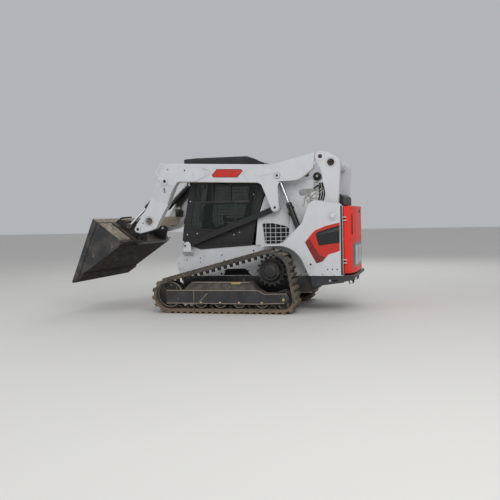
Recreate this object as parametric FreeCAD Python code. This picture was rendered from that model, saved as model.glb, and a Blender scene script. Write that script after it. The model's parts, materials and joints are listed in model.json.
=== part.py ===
import FreeCAD, Part
import math
import os

# A compact track loader with a vertical-lift arm linkage, in millimetres.
# +X is forward, +Y is the machine's left, +Z is up. The origin is on the ground, on the centre
# plane, midway between the bucket's cutting edge and the rear bumper.

V = FreeCAD.Vector

# Undercarriage
TRACK_IN = 600.0            # inner face of a track, from the centre plane
TRACK_W = 330.0
TRACK_OUT = TRACK_IN + TRACK_W
TRACK_MID = (TRACK_IN + TRACK_OUT) / 2
PITCH = 86.0                # one link of the rubber track
TEETH = 17                  # on the drive sprocket
BELT_T = 34.0               # rubber belt without its lugs
LUG_H = 26.0                # tread lug
DRIVE_LUG_H = 42.0          # lug inside the belt, between the sprocket's teeth
DRIVE_LUG_W = 60.0
SPROCKET_X = -850.0
SPROCKET_Z = 547.0
SPROCKET_BELT_R = PITCH * TEETH / (2 * math.pi)     # inside of the belt on the sprocket
IDLER_X = 515.0
IDLER_BELT_R = 180.0        # inside of the belt on the front idler
TAIL_X = -1025.0
TAIL_BELT_R = 125.0         # inside of the belt on the rear idler
ROLLER_R = 84.0
ROLLER_HUB_R = 38.0
ROLLER_AXLE_R = 20.0
ROLLER_X = [81.0, -180.0, -436.0, -740.0]
IDLER_HUB_R = 46.0
IDLER_AXLE_R = 28.0
WHEEL_GAP = 0.3             # between a wheel and what it runs on or in
CHANNEL = 118.0             # half the width inside a track frame
CHANNEL_IN = TRACK_MID - CHANNEL
CHANNEL_OUT = TRACK_MID + CHANNEL
TRACK_PLATE = 12.0
RIDGE_Z = 304.0             # where the track frame's side starts to lean inwards
CREST_Z = 404.0
LEAN = 70.0
CROSS_X = [60.0, -470.0]    # cross tubes from the track frames to the main frame

# Linkage across the machine
ARM_IN = 545.0              # inner face of the lift arm beams
ARM_W = 107.0
ARM_OUT = ARM_IN + ARM_W
DOUBLER = 8.0               # doubler plates on the outer face
LEG_IN = 475.0              # the lower legs step inwards, between the frame and the tracks
LEG_W = 113.0
LEG_OUT = LEG_IN + LEG_W
BAR_IN = 488.0              # control links
BAR_W = 50.0
BAR_OUT = BAR_IN + BAR_W
TONGUE_IN = ARM_IN + 23     # the arm's tongue inside the rear link's fork
TONGUE_OUT = ARM_OUT - 15
CARRIER_IN = 370.0          # the carrier's cheeks
CARRIER_T = 24.0
CARRIER_OUT = CARRIER_IN + CARRIER_T
LIFT_Y = (ARM_IN + ARM_OUT + DOUBLER) / 2
TILT_Y = 434.0

# Chassis
FRAME_Y = 460.0             # outer face of the main frame's side plates
PLATE = 10.0                # thickness of the frame's plates
BELLY_Z = 235.0
TOWER_PLATE = 18.0
TOWER_IN = ARM_IN - 27 - TOWER_PLATE            # inner face of the rear towers
TOWER_Y = ARM_OUT + DOUBLER + 42 + TOWER_PLATE  # outer face
TOWER_FOOT = 480.0
REAR_X = -1772.0            # rear edge of the towers
SILL = [(-519, 875), (204, 827), (320, 871), (466, 952)]    # where the cab stands on the frame
FLANGE_TOP = [(-700, 874), (-1165, 889)]    # the upper side of the arch over the track
PANEL_IN = 466.0            # inner face of the panels beside the engine
LID_HINGE = (-1160.0, 1402.0)
TIE_DOWN = (-1830.0, 366.0)
TIE_DOWN_R = 20.0

# Linkage: each pin's place with the arms as they stand
B0 = (395.0, 884.0)         # control link to chassis
B1 = (-886.0, 1373.0)       # control link to arm
A0 = (-1648.0, 1248.0)      # rear link to tower
A1 = (-1494.0, 2018.0)      # rear link to arm
LIFT_TOP = (-924.0, 1790.0)
LIFT_BOTTOM = (-1358.0, 628.0)
LIFT_R = 38.0
LIFT_ROD_R = 22.0
LIFT_ROD_LENGTH = 930.0
TILT_PIN = (1072.0, 1120.0)
TILT_BASE = (637.0, 1763.0)
TILT_R = 33.0
TILT_ROD_R = 18.0
TILT_ROD_LENGTH = 560.0
TILT_ARM = 190.0            # from the bucket pivot to the tilt rod's eye
TILT_ARM_DEG = 15.0
FRONT_TUBE = (906.0, 1225.0)
FRONT_TUBE_R = 66.0
FRONT_BORE_R = 53.0
LINK_TUBE = (-1628.0, 1938.0)
LINK_TUBE_R = 62.0
LINK_BORE_R = 48.0
PIN_R = 22.0                # pins of the control links and the tilt cylinders' feet
LINK_PIN_R = 24.0
LIFT_PIN_R = 20.0
PIVOT_R = 20.0              # the bucket's pivots
PIN_FIT = 0.05              # radial running clearance of a pin

# Cab
CAB_Y = 470.0
CAB_PLATE = 16.0
ROOF_Y = 420.0
ROOF_Z = 2085.0
ROOF_EDGE_R = 45.0

# Bucket: the corners of its side
BUCKET_W = 930.0            # half its width, without the side cutters
CUTTER_T = 10.0
LIP = (1576.0, 1278.0)
HEEL = (1145.0, 942.0)
EDGE = (1915.0, 418.0)
SHELL = 12.0
HEEL_R = 70.0

# Rear door
DOOR_Y = 612.0
DOOR_SIDE = 78.0            # depth of its sides
DOOR_DEEP = 130.0           # depth over the crown
DOOR_FLAT_Y = 350.0         # half the width of the flat middle of its crown
DOOR_Z = (504.0, 1371.0)
DOOR_WALL = 30.0
VENT_Y = 535.0
DOOR_FRONT = REAR_X - 10
DOOR_REAR = DOOR_FRONT - DOOR_DEEP
HINGE_X = REAR_X - 34
HINGE_Y = DOOR_Y + 14
HINGE_Z = [660.0, 1210.0]
HINGE_PIN_R = 8.0


def wire(points):
    """A closed outline through (a, b) or (a, b, radius) points, rounded with arcs."""
    count = len(points)
    ends = []
    for i in range(count):
        here = V(points[i][0], points[i][1], 0)
        radius = points[i][2] if len(points[i]) > 2 else 0
        if not radius:
            ends.append((here, here, None))
            continue
        before = points[i - 1]
        after = points[(i + 1) % count]
        u = (V(before[0], before[1], 0) - here).normalize()
        w = (V(after[0], after[1], 0) - here).normalize()
        half = u.getAngle(w) / 2
        reach = radius / math.tan(half)
        middle = (u + w).normalize()
        top = here + middle * (radius / math.sin(half) - radius)
        ends.append((here + u * reach, here + w * reach, top))
    edges = []
    for i in range(count):
        start, stop, top = ends[i]
        if top is not None:
            edges.append(Part.Arc(start, top, stop).toShape())
        following = ends[(i + 1) % count][0]
        if stop.distanceToPoint(following) > 1e-6:
            edges.append(Part.LineSegment(stop, following).toShape())
    return Part.Wire(edges)


def plate(points, y0, y1, holes=()):
    """A plate seen from the side, with outline points (x, z), between two values of y."""
    face = Part.Face(wire(points))
    for hole in holes:
        face = face.cut(Part.Face(wire(hole)))
    face.rotate(V(0, 0, 0), V(1, 0, 0), 90)
    face.translate(V(0, y0, 0))
    return face.extrude(V(0, y1 - y0, 0))


def section(points, x0, x1):
    """A prism seen from the front, with outline points (y, z), between two values of x."""
    face = Part.Face(wire(points))
    face.rotate(V(0, 0, 0), V(1, 1, 1), 120)
    face.translate(V(x0, 0, 0))
    return face.extrude(V(x1 - x0, 0, 0))


def plan(points, z0, z1):
    """A prism seen from above, with outline points (x, y), between two heights."""
    face = Part.Face(wire(points))
    face.translate(V(0, 0, z0))
    return face.extrude(V(0, 0, z1 - z0))


def box(x0, x1, y0, y1, z0, z1):
    return Part.makeBox(x1 - x0, y1 - y0, z1 - z0, V(x0, y0, z0))


def disc(place, radius, y0, y1):
    """A cylinder along Y at (x, z)."""
    return Part.makeCylinder(radius, y1 - y0, V(place[0], y0, place[1]), V(0, 1, 0))


def ring(place, outer, inner, y0, y1):
    return disc(place, outer, y0, y1).cut(disc(place, inner, y0 - 1, y1 + 1))


def bar(start, end, radius):
    """A round bar between two points."""
    a = V(*start)
    b = V(*end)
    return Part.makeCylinder(radius, (b - a).Length, a, b - a)


def union(shapes):
    return shapes[0].multiFuse(shapes[1:]).removeSplitter() if len(shapes) > 1 else shapes[0]


def mirrored(shape):
    return shape.mirror(V(0, 0, 0), V(0, 1, 0))


def pair(shape):
    """The shape and its mirror image, as solids that do not touch."""
    return Part.makeCompound([shape, mirrored(shape)])


def polar(place, radius, degrees):
    a = math.radians(degrees)
    return (place[0] + radius * math.cos(a), place[1] + radius * math.sin(a))


def degrees_between(a, b):
    return math.degrees(math.atan2(b[1] - a[1], b[0] - a[0]))


# The track: a loop round three wheels, in links of equal length

WHEELS = [  # x, z, radius to the inside of the belt
    (IDLER_X, BELT_T + LUG_H + IDLER_BELT_R, IDLER_BELT_R),
    (SPROCKET_X, SPROCKET_Z, SPROCKET_BELT_R),
    (TAIL_X, BELT_T + LUG_H + TAIL_BELT_R, TAIL_BELT_R),
]


def loop_pieces():
    """The belt's inside line as arcs and straight runs, anticlockwise from the front idler."""
    normals = []
    for i in range(len(WHEELS)):
        x, z, r = WHEELS[i]
        x2, z2, r2 = WHEELS[(i + 1) % len(WHEELS)]
        span = math.hypot(x2 - x, z2 - z)
        normals.append(math.atan2(z2 - z, x2 - x) - math.acos((r - r2) / span))
    pieces = []
    for i, (x, z, r) in enumerate(WHEELS):
        a0 = normals[i - 1]
        turn = (normals[i] - a0) % (2 * math.pi)
        pieces.append(("arc", x, z, r, a0, turn, turn * r))
        x2, z2, r2 = WHEELS[(i + 1) % len(WHEELS)]
        a = normals[i]
        start = (x + r * math.cos(a), z + r * math.sin(a))
        end = (x2 + r2 * math.cos(a), z2 + r2 * math.sin(a))
        length = math.hypot(end[0] - start[0], end[1] - start[1])
        pieces.append(("run", start, end, a, length))
    return pieces


ROLLER_Z = BELT_T + LUG_H + WHEEL_GAP + ROLLER_R
LOOP = loop_pieces()
LOOP_LENGTH = sum(piece[-1] for piece in LOOP)
LINKS = round(LOOP_LENGTH / PITCH)
LINK = LOOP_LENGTH / LINKS
DRIVE_START = sum(piece[-1] for piece in LOOP[:2])


def on_loop(s, out):
    """The point at distance s along the loop, moved outwards from the belt's inside."""
    s = s % LOOP_LENGTH
    for piece in LOOP:
        if s <= piece[-1]:
            break
        s -= piece[-1]
    if piece[0] == "arc":
        kind, x, z, r, a0, turn, length = piece
        a = a0 + s / r
        return (x + (r + out) * math.cos(a), z + (r + out) * math.sin(a))
    kind, start, end, a, length = piece
    t = s / length
    x = start[0] + (end[0] - start[0]) * t + out * math.cos(a)
    return (x, start[1] + (end[1] - start[1]) * t + out * math.sin(a))


def track():
    tread = []
    for k in range(LINKS):
        s = k * LINK
        for along, out in ((-25, BELT_T), (-16, BELT_T + LUG_H), (16, BELT_T + LUG_H), (25, BELT_T)):
            tread.append(on_loop(s + along, out))
    inside = [on_loop(k * LINK / 2, 0) for k in range(2 * LINKS)]
    belt = plate(tread, TRACK_IN, TRACK_OUT, [inside])
    lugs = []
    for k in range(LINKS):
        s = (k + 0.5) * LINK
        for along, depth in ((-20, -0.001), (-12, DRIVE_LUG_H), (12, DRIVE_LUG_H), (20, -0.001)):
            lugs.append(on_loop(s + along, -depth))
    middle = [on_loop(k * LINK / 2, BELT_T / 2) for k in range(2 * LINKS)]
    guide = plate(middle, TRACK_MID - DRIVE_LUG_W / 2, TRACK_MID + DRIVE_LUG_W / 2, [lugs])
    return belt.fuse(guide)


def sprocket():
    tip = SPROCKET_BELT_R - 34
    root = tip - 30
    steps = round((DRIVE_START + 2 * LINK) / LINK)
    gap = on_loop(steps * LINK, 0)
    phase = degrees_between((SPROCKET_X, SPROCKET_Z), gap)
    teeth = []
    for k in range(TEETH):
        a = phase + k * 360.0 / TEETH
        for turn, r in ((-6.6, root), (-2.6, tip), (2.6, tip), (6.6, root)):
            teeth.append(polar((SPROCKET_X, SPROCKET_Z), r, a + turn))
    here = (SPROCKET_X, SPROCKET_Z)
    wheel = plate(teeth, TRACK_MID - 20, TRACK_MID + 20)
    hub = Part.makeCone(138, 118, 50, V(SPROCKET_X, TRACK_MID + 20, SPROCKET_Z), V(0, 1, 0))
    cap = Part.makeCone(96, 84, 14, V(SPROCKET_X, TRACK_MID + 70, SPROCKET_Z), V(0, 1, 0))
    motor = disc(here, 118, FRAME_Y, TRACK_MID - 20)
    flange = disc(here, 150, FRAME_Y, FRAME_Y + 22)
    return union([wheel, hub, cap, motor, flange])


def hub_and_axle(place, hub_r, axle_r):
    """A hub that fills the channel of a track frame, on an axle through both of its plates."""
    hub = disc(place, hub_r, CHANNEL_IN + TRACK_PLATE + WHEEL_GAP, CHANNEL_OUT - WHEEL_GAP)
    return [hub, disc(place, axle_r, CHANNEL_IN, CHANNEL_OUT + TRACK_PLATE)]


def rollers():
    """Four rollers with a groove for the drive lugs, on their axles."""
    wheels = []
    for x in ROLLER_X:
        rims = [disc((x, ROLLER_Z), ROLLER_R, TRACK_MID - 100, TRACK_MID - 36),
                disc((x, ROLLER_Z), ROLLER_R, TRACK_MID + 36, TRACK_MID + 100)]
        wheels.append(union(rims + hub_and_axle((x, ROLLER_Z), ROLLER_HUB_R, ROLLER_AXLE_R)))
    return Part.makeCompound(wheels)


def idlers():
    """Front and rear idlers, each on its axle."""
    wheels = []
    for x, z, r in (WHEELS[0], WHEELS[2]):
        rim = r * math.cos(math.pi * LINK / 2 / (2 * math.pi * r)) - 1.0
        parts = []
        for y0, y1 in ((TRACK_MID - 92, TRACK_MID - 36), (TRACK_MID + 36, TRACK_MID + 92)):
            parts.append(disc((x, z), rim, y0, y1).cut(disc((x, z), rim - 22, y0 - 1, y0 + 14))
                         .cut(disc((x, z), rim - 22, y1 - 14, y1 + 1)))
        wheels.append(union(parts + hub_and_axle((x, z), IDLER_HUB_R, IDLER_AXLE_R)))
    return Part.makeCompound(wheels)


def track_frame():
    """A channel open below, its upper part leaning inwards, with cross tubes to the main frame."""
    inner = CHANNEL_IN + TRACK_PLATE
    outer = CHANNEL_OUT + TRACK_PLATE
    beam = [(563, 130, 10), (150, 131), (-691, 125), (-1059, 141, 40), (-1108, 200, 45),
            (-1072, 262, 20), (-773, 255, 30), (-688, RIDGE_Z), (563, RIDGE_Z, 15)]
    crest = plate([(329, RIDGE_Z - 1), (236, CREST_Z), (-576, CREST_Z), (-688, RIDGE_Z - 1)],
                  CHANNEL_IN, outer)
    crest = crest.common(section([(CHANNEL_IN, RIDGE_Z - 1), (outer, RIDGE_Z - 1), (outer, RIDGE_Z),
                                  (outer - LEAN, CREST_Z), (CHANNEL_IN, CREST_Z)], -700, 340))
    body = union([plate(beam, CHANNEL_IN, outer), crest])
    hollow = [(600, 90), (600, 282), (-680, 282), (-770, 236), (-1200, 236), (-1200, 90)]
    roof = CREST_Z - 16
    attic = section([(inner, 270), (CHANNEL_OUT - 4, 270), (CHANNEL_OUT - 4, RIDGE_Z),
                     (CHANNEL_OUT + 8 - LEAN, roof), (inner, roof)], -560, 220)
    cuts = [plate(hollow, inner, CHANNEL_OUT), attic]
    for x, z, r in (WHEELS[0], WHEELS[2]):
        cuts.append(disc((x, z), r + 12, inner, CHANNEL_OUT))
        cuts.append(disc((x, z), IDLER_AXLE_R + WHEEL_GAP, CHANNEL_IN - 1, outer + 1))
    for x in ROLLER_X:
        cuts.append(disc((x, ROLLER_Z), ROLLER_AXLE_R + WHEEL_GAP, CHANNEL_IN - 1, outer + 1))
    for cut in cuts:
        body = body.cut(cut)
    tubes = [box(x - 70, x + 70, FRAME_Y, CHANNEL_IN, 265, 375) for x in CROSS_X]
    return union([body] + tubes)


# Main frame and rear towers

def front_lug():
    """The bracket on the main frame that holds a control link's front pin, on its pedestal."""
    lug_in = BAR_OUT + 8
    lug_out = lug_in + 18
    lug = plate([(312, 800), (426, 800), (426, 850, 12), (412, 914, 20), (378, 933, 20),
                 (350, 940, 20), (322, 900, 20), (312, 845, 10)], lug_in, lug_out)
    pedestal = section([(FRAME_Y - 1, 812), (lug_out, 812), (lug_out, 800), (FRAME_Y + 14, 744),
                        (FRAME_Y - 1, 744)], 308, 434)
    return union([lug, pedestal, disc(B0, PIN_R, CAB_Y + 1, lug_out), disc(B0, 40, CAB_Y + 1, BAR_IN - 3),
                  disc(B0, 27, lug_out, lug_out + 10)])


def main_frame():
    """A welded tub, open above, between the tracks."""
    side = [(467, 806), (573, 654, 20), (519, 487, 20), (430, BELLY_Z, 40), (-1330, BELLY_Z, 60),
            (-1560, 400, 60), (-1740, TOWER_FOOT), (-1740, 862)] + SILL
    inside = [(440, 1100), (440, 800), (556, 652, 12), (506, 490, 12), (421, BELLY_Z + PLATE),
              (-1326, BELLY_Z + PLATE), (-1556, 412), (-1728, 490), (-1728, 1100)]
    hose_hole = [(-114, 471, 8), (-145, 555, 20), (-419, 561, 30), (-488, 484, 8), (-488, 471, 8)]
    tub = plate(side, -FRAME_Y, FRAME_Y)
    tub = tub.cut(plate(inside, PLATE - FRAME_Y, FRAME_Y - PLATE))
    tub = tub.cut(plate(hose_hole, -FRAME_Y - 1, FRAME_Y + 1))
    lug = front_lug()
    return union([tub, lug, mirrored(lug)])


def on_line(ends, x):
    (xa, za), (xb, zb) = ends
    return (x, za + (zb - za) * (x - xa) / (xb - xa))


def tower():
    """The welded upright at the rear that carries the rear link and the lift cylinder."""
    arch = [(-1334, TOWER_FOOT), (-1160, 880, 360), (-700, 866)]
    outer = arch + [(-700, 882), (-998, 905, 80), (-1253, 1170, 120), (-1362, 1468, 120),
                    (-1740, 1410, 20), (REAR_X, 1380, 20), (REAR_X, TOWER_FOOT)]
    inner = [(-1348, TOWER_FOOT), (-1180, 868, 330), (-1040, 872), (-1052, 1300), (-1061, 1539, 30),
             (-1259, 1491, 60), (-1310, 1400, 60), (REAR_X, 1375), (REAR_X, TOWER_FOOT)]
    flange = arch + FLANGE_TOP[:1] + [(FLANGE_TOP[1][0], FLANGE_TOP[1][1], 367), (-1343, TOWER_FOOT)]
    washer = ring(LIFT_BOTTOM, 42, 15, TOWER_Y, TOWER_Y + 12)
    shapes = [plate(outer, TOWER_Y - TOWER_PLATE, TOWER_Y),
              plate(inner, TOWER_IN, TOWER_IN + TOWER_PLATE),
              plate(flange, FRAME_Y, TOWER_Y - 1),
              box(REAR_X, REAR_X + 12, TOWER_IN, TOWER_Y - 1, TOWER_FOOT, 1375),
              box(REAR_X, -1345, FRAME_Y, TOWER_Y - 1, TOWER_FOOT, TOWER_FOOT + 12),
              disc(LIFT_BOTTOM, LIFT_PIN_R, TOWER_IN + 5, TOWER_Y), washer,
              disc(LIFT_BOTTOM, 44, TOWER_IN + TOWER_PLATE, LIFT_Y - 45),
              disc(LIFT_BOTTOM, 44, LIFT_Y + 45, TOWER_Y - TOWER_PLATE),
              disc(A0, 56, TOWER_Y, TOWER_Y + 10),
              disc(A0, 26, TOWER_Y + 10, TOWER_Y + 22)]
    return union(shapes)


def hinged(upright):
    """The left tower, with the tailgate's two hinge brackets and their pins."""
    shapes = [upright]
    for z in HINGE_Z:
        for dz in (-27, 15):
            ear = plan([(REAR_X + 1, HINGE_Y + 18), (HINGE_X, HINGE_Y + 18, 16),
                        (HINGE_X - 16, HINGE_Y, 14), (HINGE_X - 4, HINGE_Y - 12, 8),
                        (REAR_X + 1, HINGE_Y - 12)], z + dz, z + dz + 12)
            shapes.append(ear)
        shapes.append(Part.makeCylinder(HINGE_PIN_R, 54, V(HINGE_X, HINGE_Y, z - 27)))
    return union(shapes)


def engine():
    floor = BELLY_Z + PLATE + WHEEL_GAP
    return plate([(-1000, floor), (-1300, floor), (-1530, 426), (-1600, 500), (-1600, 1060),
                  (-1560, 1100), (-1060, 1100), (-1000, 1060)], -330, 330)


def engine_deck():
    """The fixed cover behind the cab, in front of the lifting grille."""
    cover = plate([(-740, 1500), (-740, 1560, 20), (-850, 1560, 60), (-1040, 1420, 60), (-1150, 1392),
                   (-1150, 1380), (-1040, 1404, 50), (-860, 1544, 50), (-756, 1544, 5), (-756, 1500)],
                  -PANEL_IN, PANEL_IN)
    knuckle = union([disc(LID_HINGE, 6, 425, 455), disc(LID_HINGE, 16, 425, 433),
                     disc(LID_HINGE, 16, 447, 455)])
    return union([cover, knuckle, mirrored(knuckle)])


def rear_grille():
    """The lid over the radiator, humped at its rear, with slots across it."""
    outline = [(-1160, 1392), (-1160, 1412, 10), (-1600, 1445, 150), (-1680, 1532, 40),
               (-1712, 1543, 30), (-1764, 1500, 30), (-1764, 1392)]
    lid = plate(outline, -490, 490)
    under = [(-1172, 1385), (-1172, 1400), (-1594, 1432, 140), (-1676, 1519, 30), (-1708, 1529, 20),
             (-1752, 1494, 20), (-1752, 1385)]
    lid = lid.cut(plate(under, -478, 478))
    slots = []
    for k in range(9):
        x = -1235 - k * 42
        slots.append(box(x - 12, x + 12, -430, -20, 1380, 1520))
        slots.append(box(x - 12, x + 12, 20, 430, 1380, 1520))
    for y in (424, -456):
        slots.append(box(-1180, -1140, y, y + 32, 1370, 1440))
    lid = lid.cut(Part.makeCompound(slots))
    ear = union([disc(LID_HINGE, 12, 434, 446), plate([(-1160, 1392), (-1160, 1412), (-1185, 1412),
                                                      (-1185, 1401), (-1172, 1392)], 434, 446)])
    lid = union([lid, ear, mirrored(ear)])
    return lid.cut(disc(LID_HINGE, 6 + PIN_FIT, -490, 490))


def side_panel():
    """The fixed panel beside the engine's front, with a barred intake."""
    foot = on_line(FLANGE_TOP, -1035)
    outline = [(-574, 874), (-612, 1240), (-716, 1540, 30), (-1035, 1500, 40), foot, FLANGE_TOP[0]]
    intake = [(-706, 879 + 14, 20), (-674, 1173 - 6, 20), (-814, 1167, 20), (-990, 1128, 30),
              (-1085, 1080, 40), (-959, 922, 40), (-900, 893, 20)]
    panel = plate(outline, PANEL_IN, PANEL_IN + 10, [intake])
    bars = []
    for z in (934, 985, 1040, 1104):
        bars.append(box(-1080, -660, PANEL_IN + 2, PANEL_IN + 8, z - 3, z + 3))
    for x in (-717, -781, -852, -923, -993):
        bars.append(box(x - 3, x + 3, PANEL_IN + 2, PANEL_IN + 8, 886, 1175))
    grid = union(bars).common(plate(intake, PANEL_IN + 1, PANEL_IN + 9))
    return union([panel, grid])


def bumper():
    bar_side = [(-1779, 400), (-1900, 425, 15), (-1922, 450, 10), (-1912, TOWER_FOOT, 8), (-1779, TOWER_FOOT)]
    wing = [(-1350, TOWER_FOOT), (-1372, 337, 10), (-1779, 390), (-1800, TOWER_FOOT)]
    eye = plate([(-1795, 430), (-1880, 430), (-1872, 350, 25), (-1800, 340, 20)], 300, 324)
    eyes = [eye, mirrored(eye)]
    body = union([plate(bar_side, -690, 690), plate(wing, 660, 690), plate(wing, -690, -660),
                  box(-1790, -1745, -690, 690, 420, TOWER_FOOT)] + eyes)
    return body.cut(disc(TIE_DOWN, TIE_DOWN_R, -330, 330))


def crowned(inset):
    """The tailgate's plan: straight sides, then facets that lean to the flat middle of its crown."""
    y = DOOR_Y - inset
    side = DOOR_FRONT - DOOR_SIDE + inset / 2
    rear = DOOR_REAR + inset
    left = [(DOOR_FRONT + min(inset, 1), y), (side, y, 30), (rear, DOOR_FLAT_Y, 200)]
    right = [(point[0], -point[1]) + point[2:] for point in reversed(left)]
    return left + right


def tailgate():
    """A deep crowned cover with two tall vents, hung on the machine's left."""
    floor, top = DOOR_Z
    body = plan(crowned(0), floor, top)
    body = body.cut(plan(crowned(DOOR_WALL), floor + DOOR_WALL, top - DOOR_WALL))
    for y in (-VENT_Y, VENT_Y):
        vent = [(y - 22, 1010, 20), (y + 22, 1010, 20), (y + 22, 1270, 20), (y - 22, 1270, 20)]
        body = body.cut(section(vent, DOOR_REAR - 5, DOOR_REAR + DOOR_WALL + 60))
    ears = []
    for z in HINGE_Z:
        ear = plan([(HINGE_X + 14, DOOR_Y - 2), (HINGE_X + 14, HINGE_Y, 12),
                    (HINGE_X, HINGE_Y + 14, 12), (HINGE_X - 14, HINGE_Y, 12),
                    (HINGE_X - 14, DOOR_Y - 2)], z - 13.5, z + 13.5)
        ears.append(ear)
    body = union([body] + ears)
    bore_r = HINGE_PIN_R + PIN_FIT
    bores = [Part.makeCylinder(bore_r, 60, V(HINGE_X, HINGE_Y, z - 30)) for z in HINGE_Z]
    return body.cut(Part.makeCompound(bores))


# Cab

CAB_SIDE = [(449, 1072), (285, 1960), (-690, 1960), (-718, 1600), (-597, 1247)] + SILL
CAB_WINDOW = [(344, 1126, 60), (222, 1850, 40), (-625, 1850, 40), (-607, 1699), (-499, 1235, 60),
              (-267, 1075, 80)]


def cab_side():
    return plate(CAB_SIDE, CAB_Y - CAB_PLATE, CAB_Y, [CAB_WINDOW])


def cab_back():
    wall = plate([(-700, 1959), (-704, 1600), (-585, 1247), (-515, 882), (-525, 882), (-597, 1247),
                  (-718, 1600), (-710, 1959)], CAB_PLATE - CAB_Y, CAB_Y - CAB_PLATE)
    return wall.cut(section([(-330, 1380, 40), (330, 1380, 40), (330, 1880, 40), (-330, 1880, 40)],
                            -800, -600))


def cab_roof():
    """A cap with rounded edges on a flat rim."""
    cap = plate([(430, 1985), (434, 2069, 15), (260, ROOF_Z - 2, 60), (-450, ROOF_Z, 60),
                 (-575, 2040, 40), (-700, 1978, 20), (-712, 1960), (300, 1960)], -ROOF_Y, ROOF_Y)
    cap = cap.common(section([(-ROOF_Y, 1950), (-ROOF_Y, ROOF_Z, ROOF_EDGE_R),
                              (ROOF_Y, ROOF_Z, ROOF_EDGE_R), (ROOF_Y, 1950)], -800, 500))
    flange = plate([(285, 1960), (300, 1985), (-700, 1985), (-690, 1960)], -CAB_Y, CAB_Y)
    return union([cap, flange])


def front_door():
    frame = plate([(466, 952), (449, 1072), (285, 1959), (258, 1959), (421, 1070),
                   (441, 952)], CAB_PLATE - CAB_Y, CAB_Y - CAB_PLATE)
    return frame.cut(section([(-370, 1110, 60), (370, 1110, 60), (370, 1890, 60), (-370, 1890, 60)],
                             200, 520))


def cab_glass():
    side = [(356, 1112, 66), (230, 1862, 46), (-637, 1862, 46), (-619, 1699), (-508, 1228, 66),
            (-267, 1062, 84)]
    pane = plate(side, CAB_Y, CAB_Y + 5)
    front = [(441.8, 1111), (303, 1862), (308, 1863), (446.8, 1112)]
    rear = [(-650, 1365), (-724.5, 1600), (-714.6, 1893), (-719.6, 1893), (-729.6, 1600), (-655, 1365)]
    return Part.makeCompound([pane, mirrored(pane), plate(front, -390, 390)])


def seat_base():
    return union([box(-470, -70, -190, 190, 861, 960),
                  plate([(-470, 900), (-400, 900), (-400, 960), (-480, 1100), (-540, 1640, 20),
                         (-580, 1640, 20), (-530, 1090)], -150, 150)])


def seat_cushion():
    return plate([(-398, 960.3), (40, 960.3), (60, 1000, 30), (20, 1085, 50), (-398, 1060, 30)],
                 -240, 240)


def seat_back():
    return plate([(-398, 1085), (-300, 1085, 50), (-400, 1480, 200), (-420, 1720, 50), (-500, 1720, 40),
                  (-539.5, 1640), (-478, 1100)], -230, 230)


def cab_floor():
    """Footwell, riser and the deck under the seat."""
    y = FRAME_Y - PLATE - 0.3
    return plate([(482, 430), (482, 442), (72, 442), (72, 861), (-500, 861), (-500, 849), (60, 849),
                  (60, 430)], -y, y)


def consoles():
    arm = plate([(-330, 861), (110, 861, 20), (120, 1090, 60), (60, 1140, 30), (-330, 1120, 40)],
                280, 400)
    stick = bar((60, 340, 1100), (80, 340, 1230), 13)
    knob = Part.makeSphere(28, V(84, 340, 1240))
    unit = union([arm, stick, knob])
    return pair(unit)


def front_lamps():
    lamp = box(300, 345, 300, 420, 1890, 1959.7)
    return pair(lamp.makeFillet(12, [e for e in lamp.Edges if e.BoundBox.XMin > 340]))


# Lift arms

KNEE_SLOPE = 0.4458
KNEE_TOP = [(745.0, 1790.0), (500.0, 1790 - 245 * KNEE_SLOPE)]      # front and rear of each crease
KNEE_FOOT = [(853.0, 1556.0), (619.0, 1556 - 234 * KNEE_SLOPE)]


def arm_outline():
    return [(-1470, 2086, 20), (-870, 1938, 600), (613, 2003, 60)] + KNEE_TOP + [
        (452, 1757, 60), (-700, 1707, 60), (-838, 1362), (-938, 1376), (-928, 1560), (-936, 1712, 60),
        (-1215, 1724, 250), (-1402, 1872, 60), (-1404, 1952)]


def leg_outline():
    return [KNEE_FOOT[0], (918, 1435), (987, 1327), (1088, 1186, 40), (1128, 1090, 60), (1040, 1062, 50),
            (890, 1100), (800, 1136, 40), (741, 1249), (660, 1385), KNEE_FOOT[1]]


def knee_block():
    """The joggle: the beam's end stepped inwards to the lower leg, in six flat faces."""
    ends = []
    for (front, rear), (y0, y1) in ((KNEE_TOP, (ARM_IN, ARM_OUT)), (KNEE_FOOT, (LEG_IN, LEG_OUT))):
        ends.append([V(front[0], y0, front[1]), V(rear[0], y0, rear[1]),
                     V(rear[0], y1, rear[1]), V(front[0], y1, front[1])])
    top, foot = ends
    rings = [top, foot]
    for i in range(4):
        k = (i + 1) % 4
        rings.append([top[i], top[k], foot[k], foot[i]])
    faces = [Part.Face(Part.makePolygon(corners + corners[:1])) for corners in rings]
    return Part.makeSolid(Part.makeShell(faces))


def elbow_guard():
    """The slotted guard that stands off the front of the arm's elbow."""
    guard = [(592, 1996), (640, 2006, 15), (709, 2022, 15), (786, 1890, 25), (742, 1806, 15),
             (700, 1790)]
    slots = []
    for along in (0.16, 0.38, 0.60, 0.82):
        x = 674 + 74 * along
        z = 1998 - 134 * along
        slots.append([(x - 18, z - 3, 5), (x + 2, z + 18, 5), (x + 26, z + 4, 5), (x + 6, z - 20, 5)])
    return plate(guard, ARM_IN + 50, ARM_IN + 62, slots)


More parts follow.
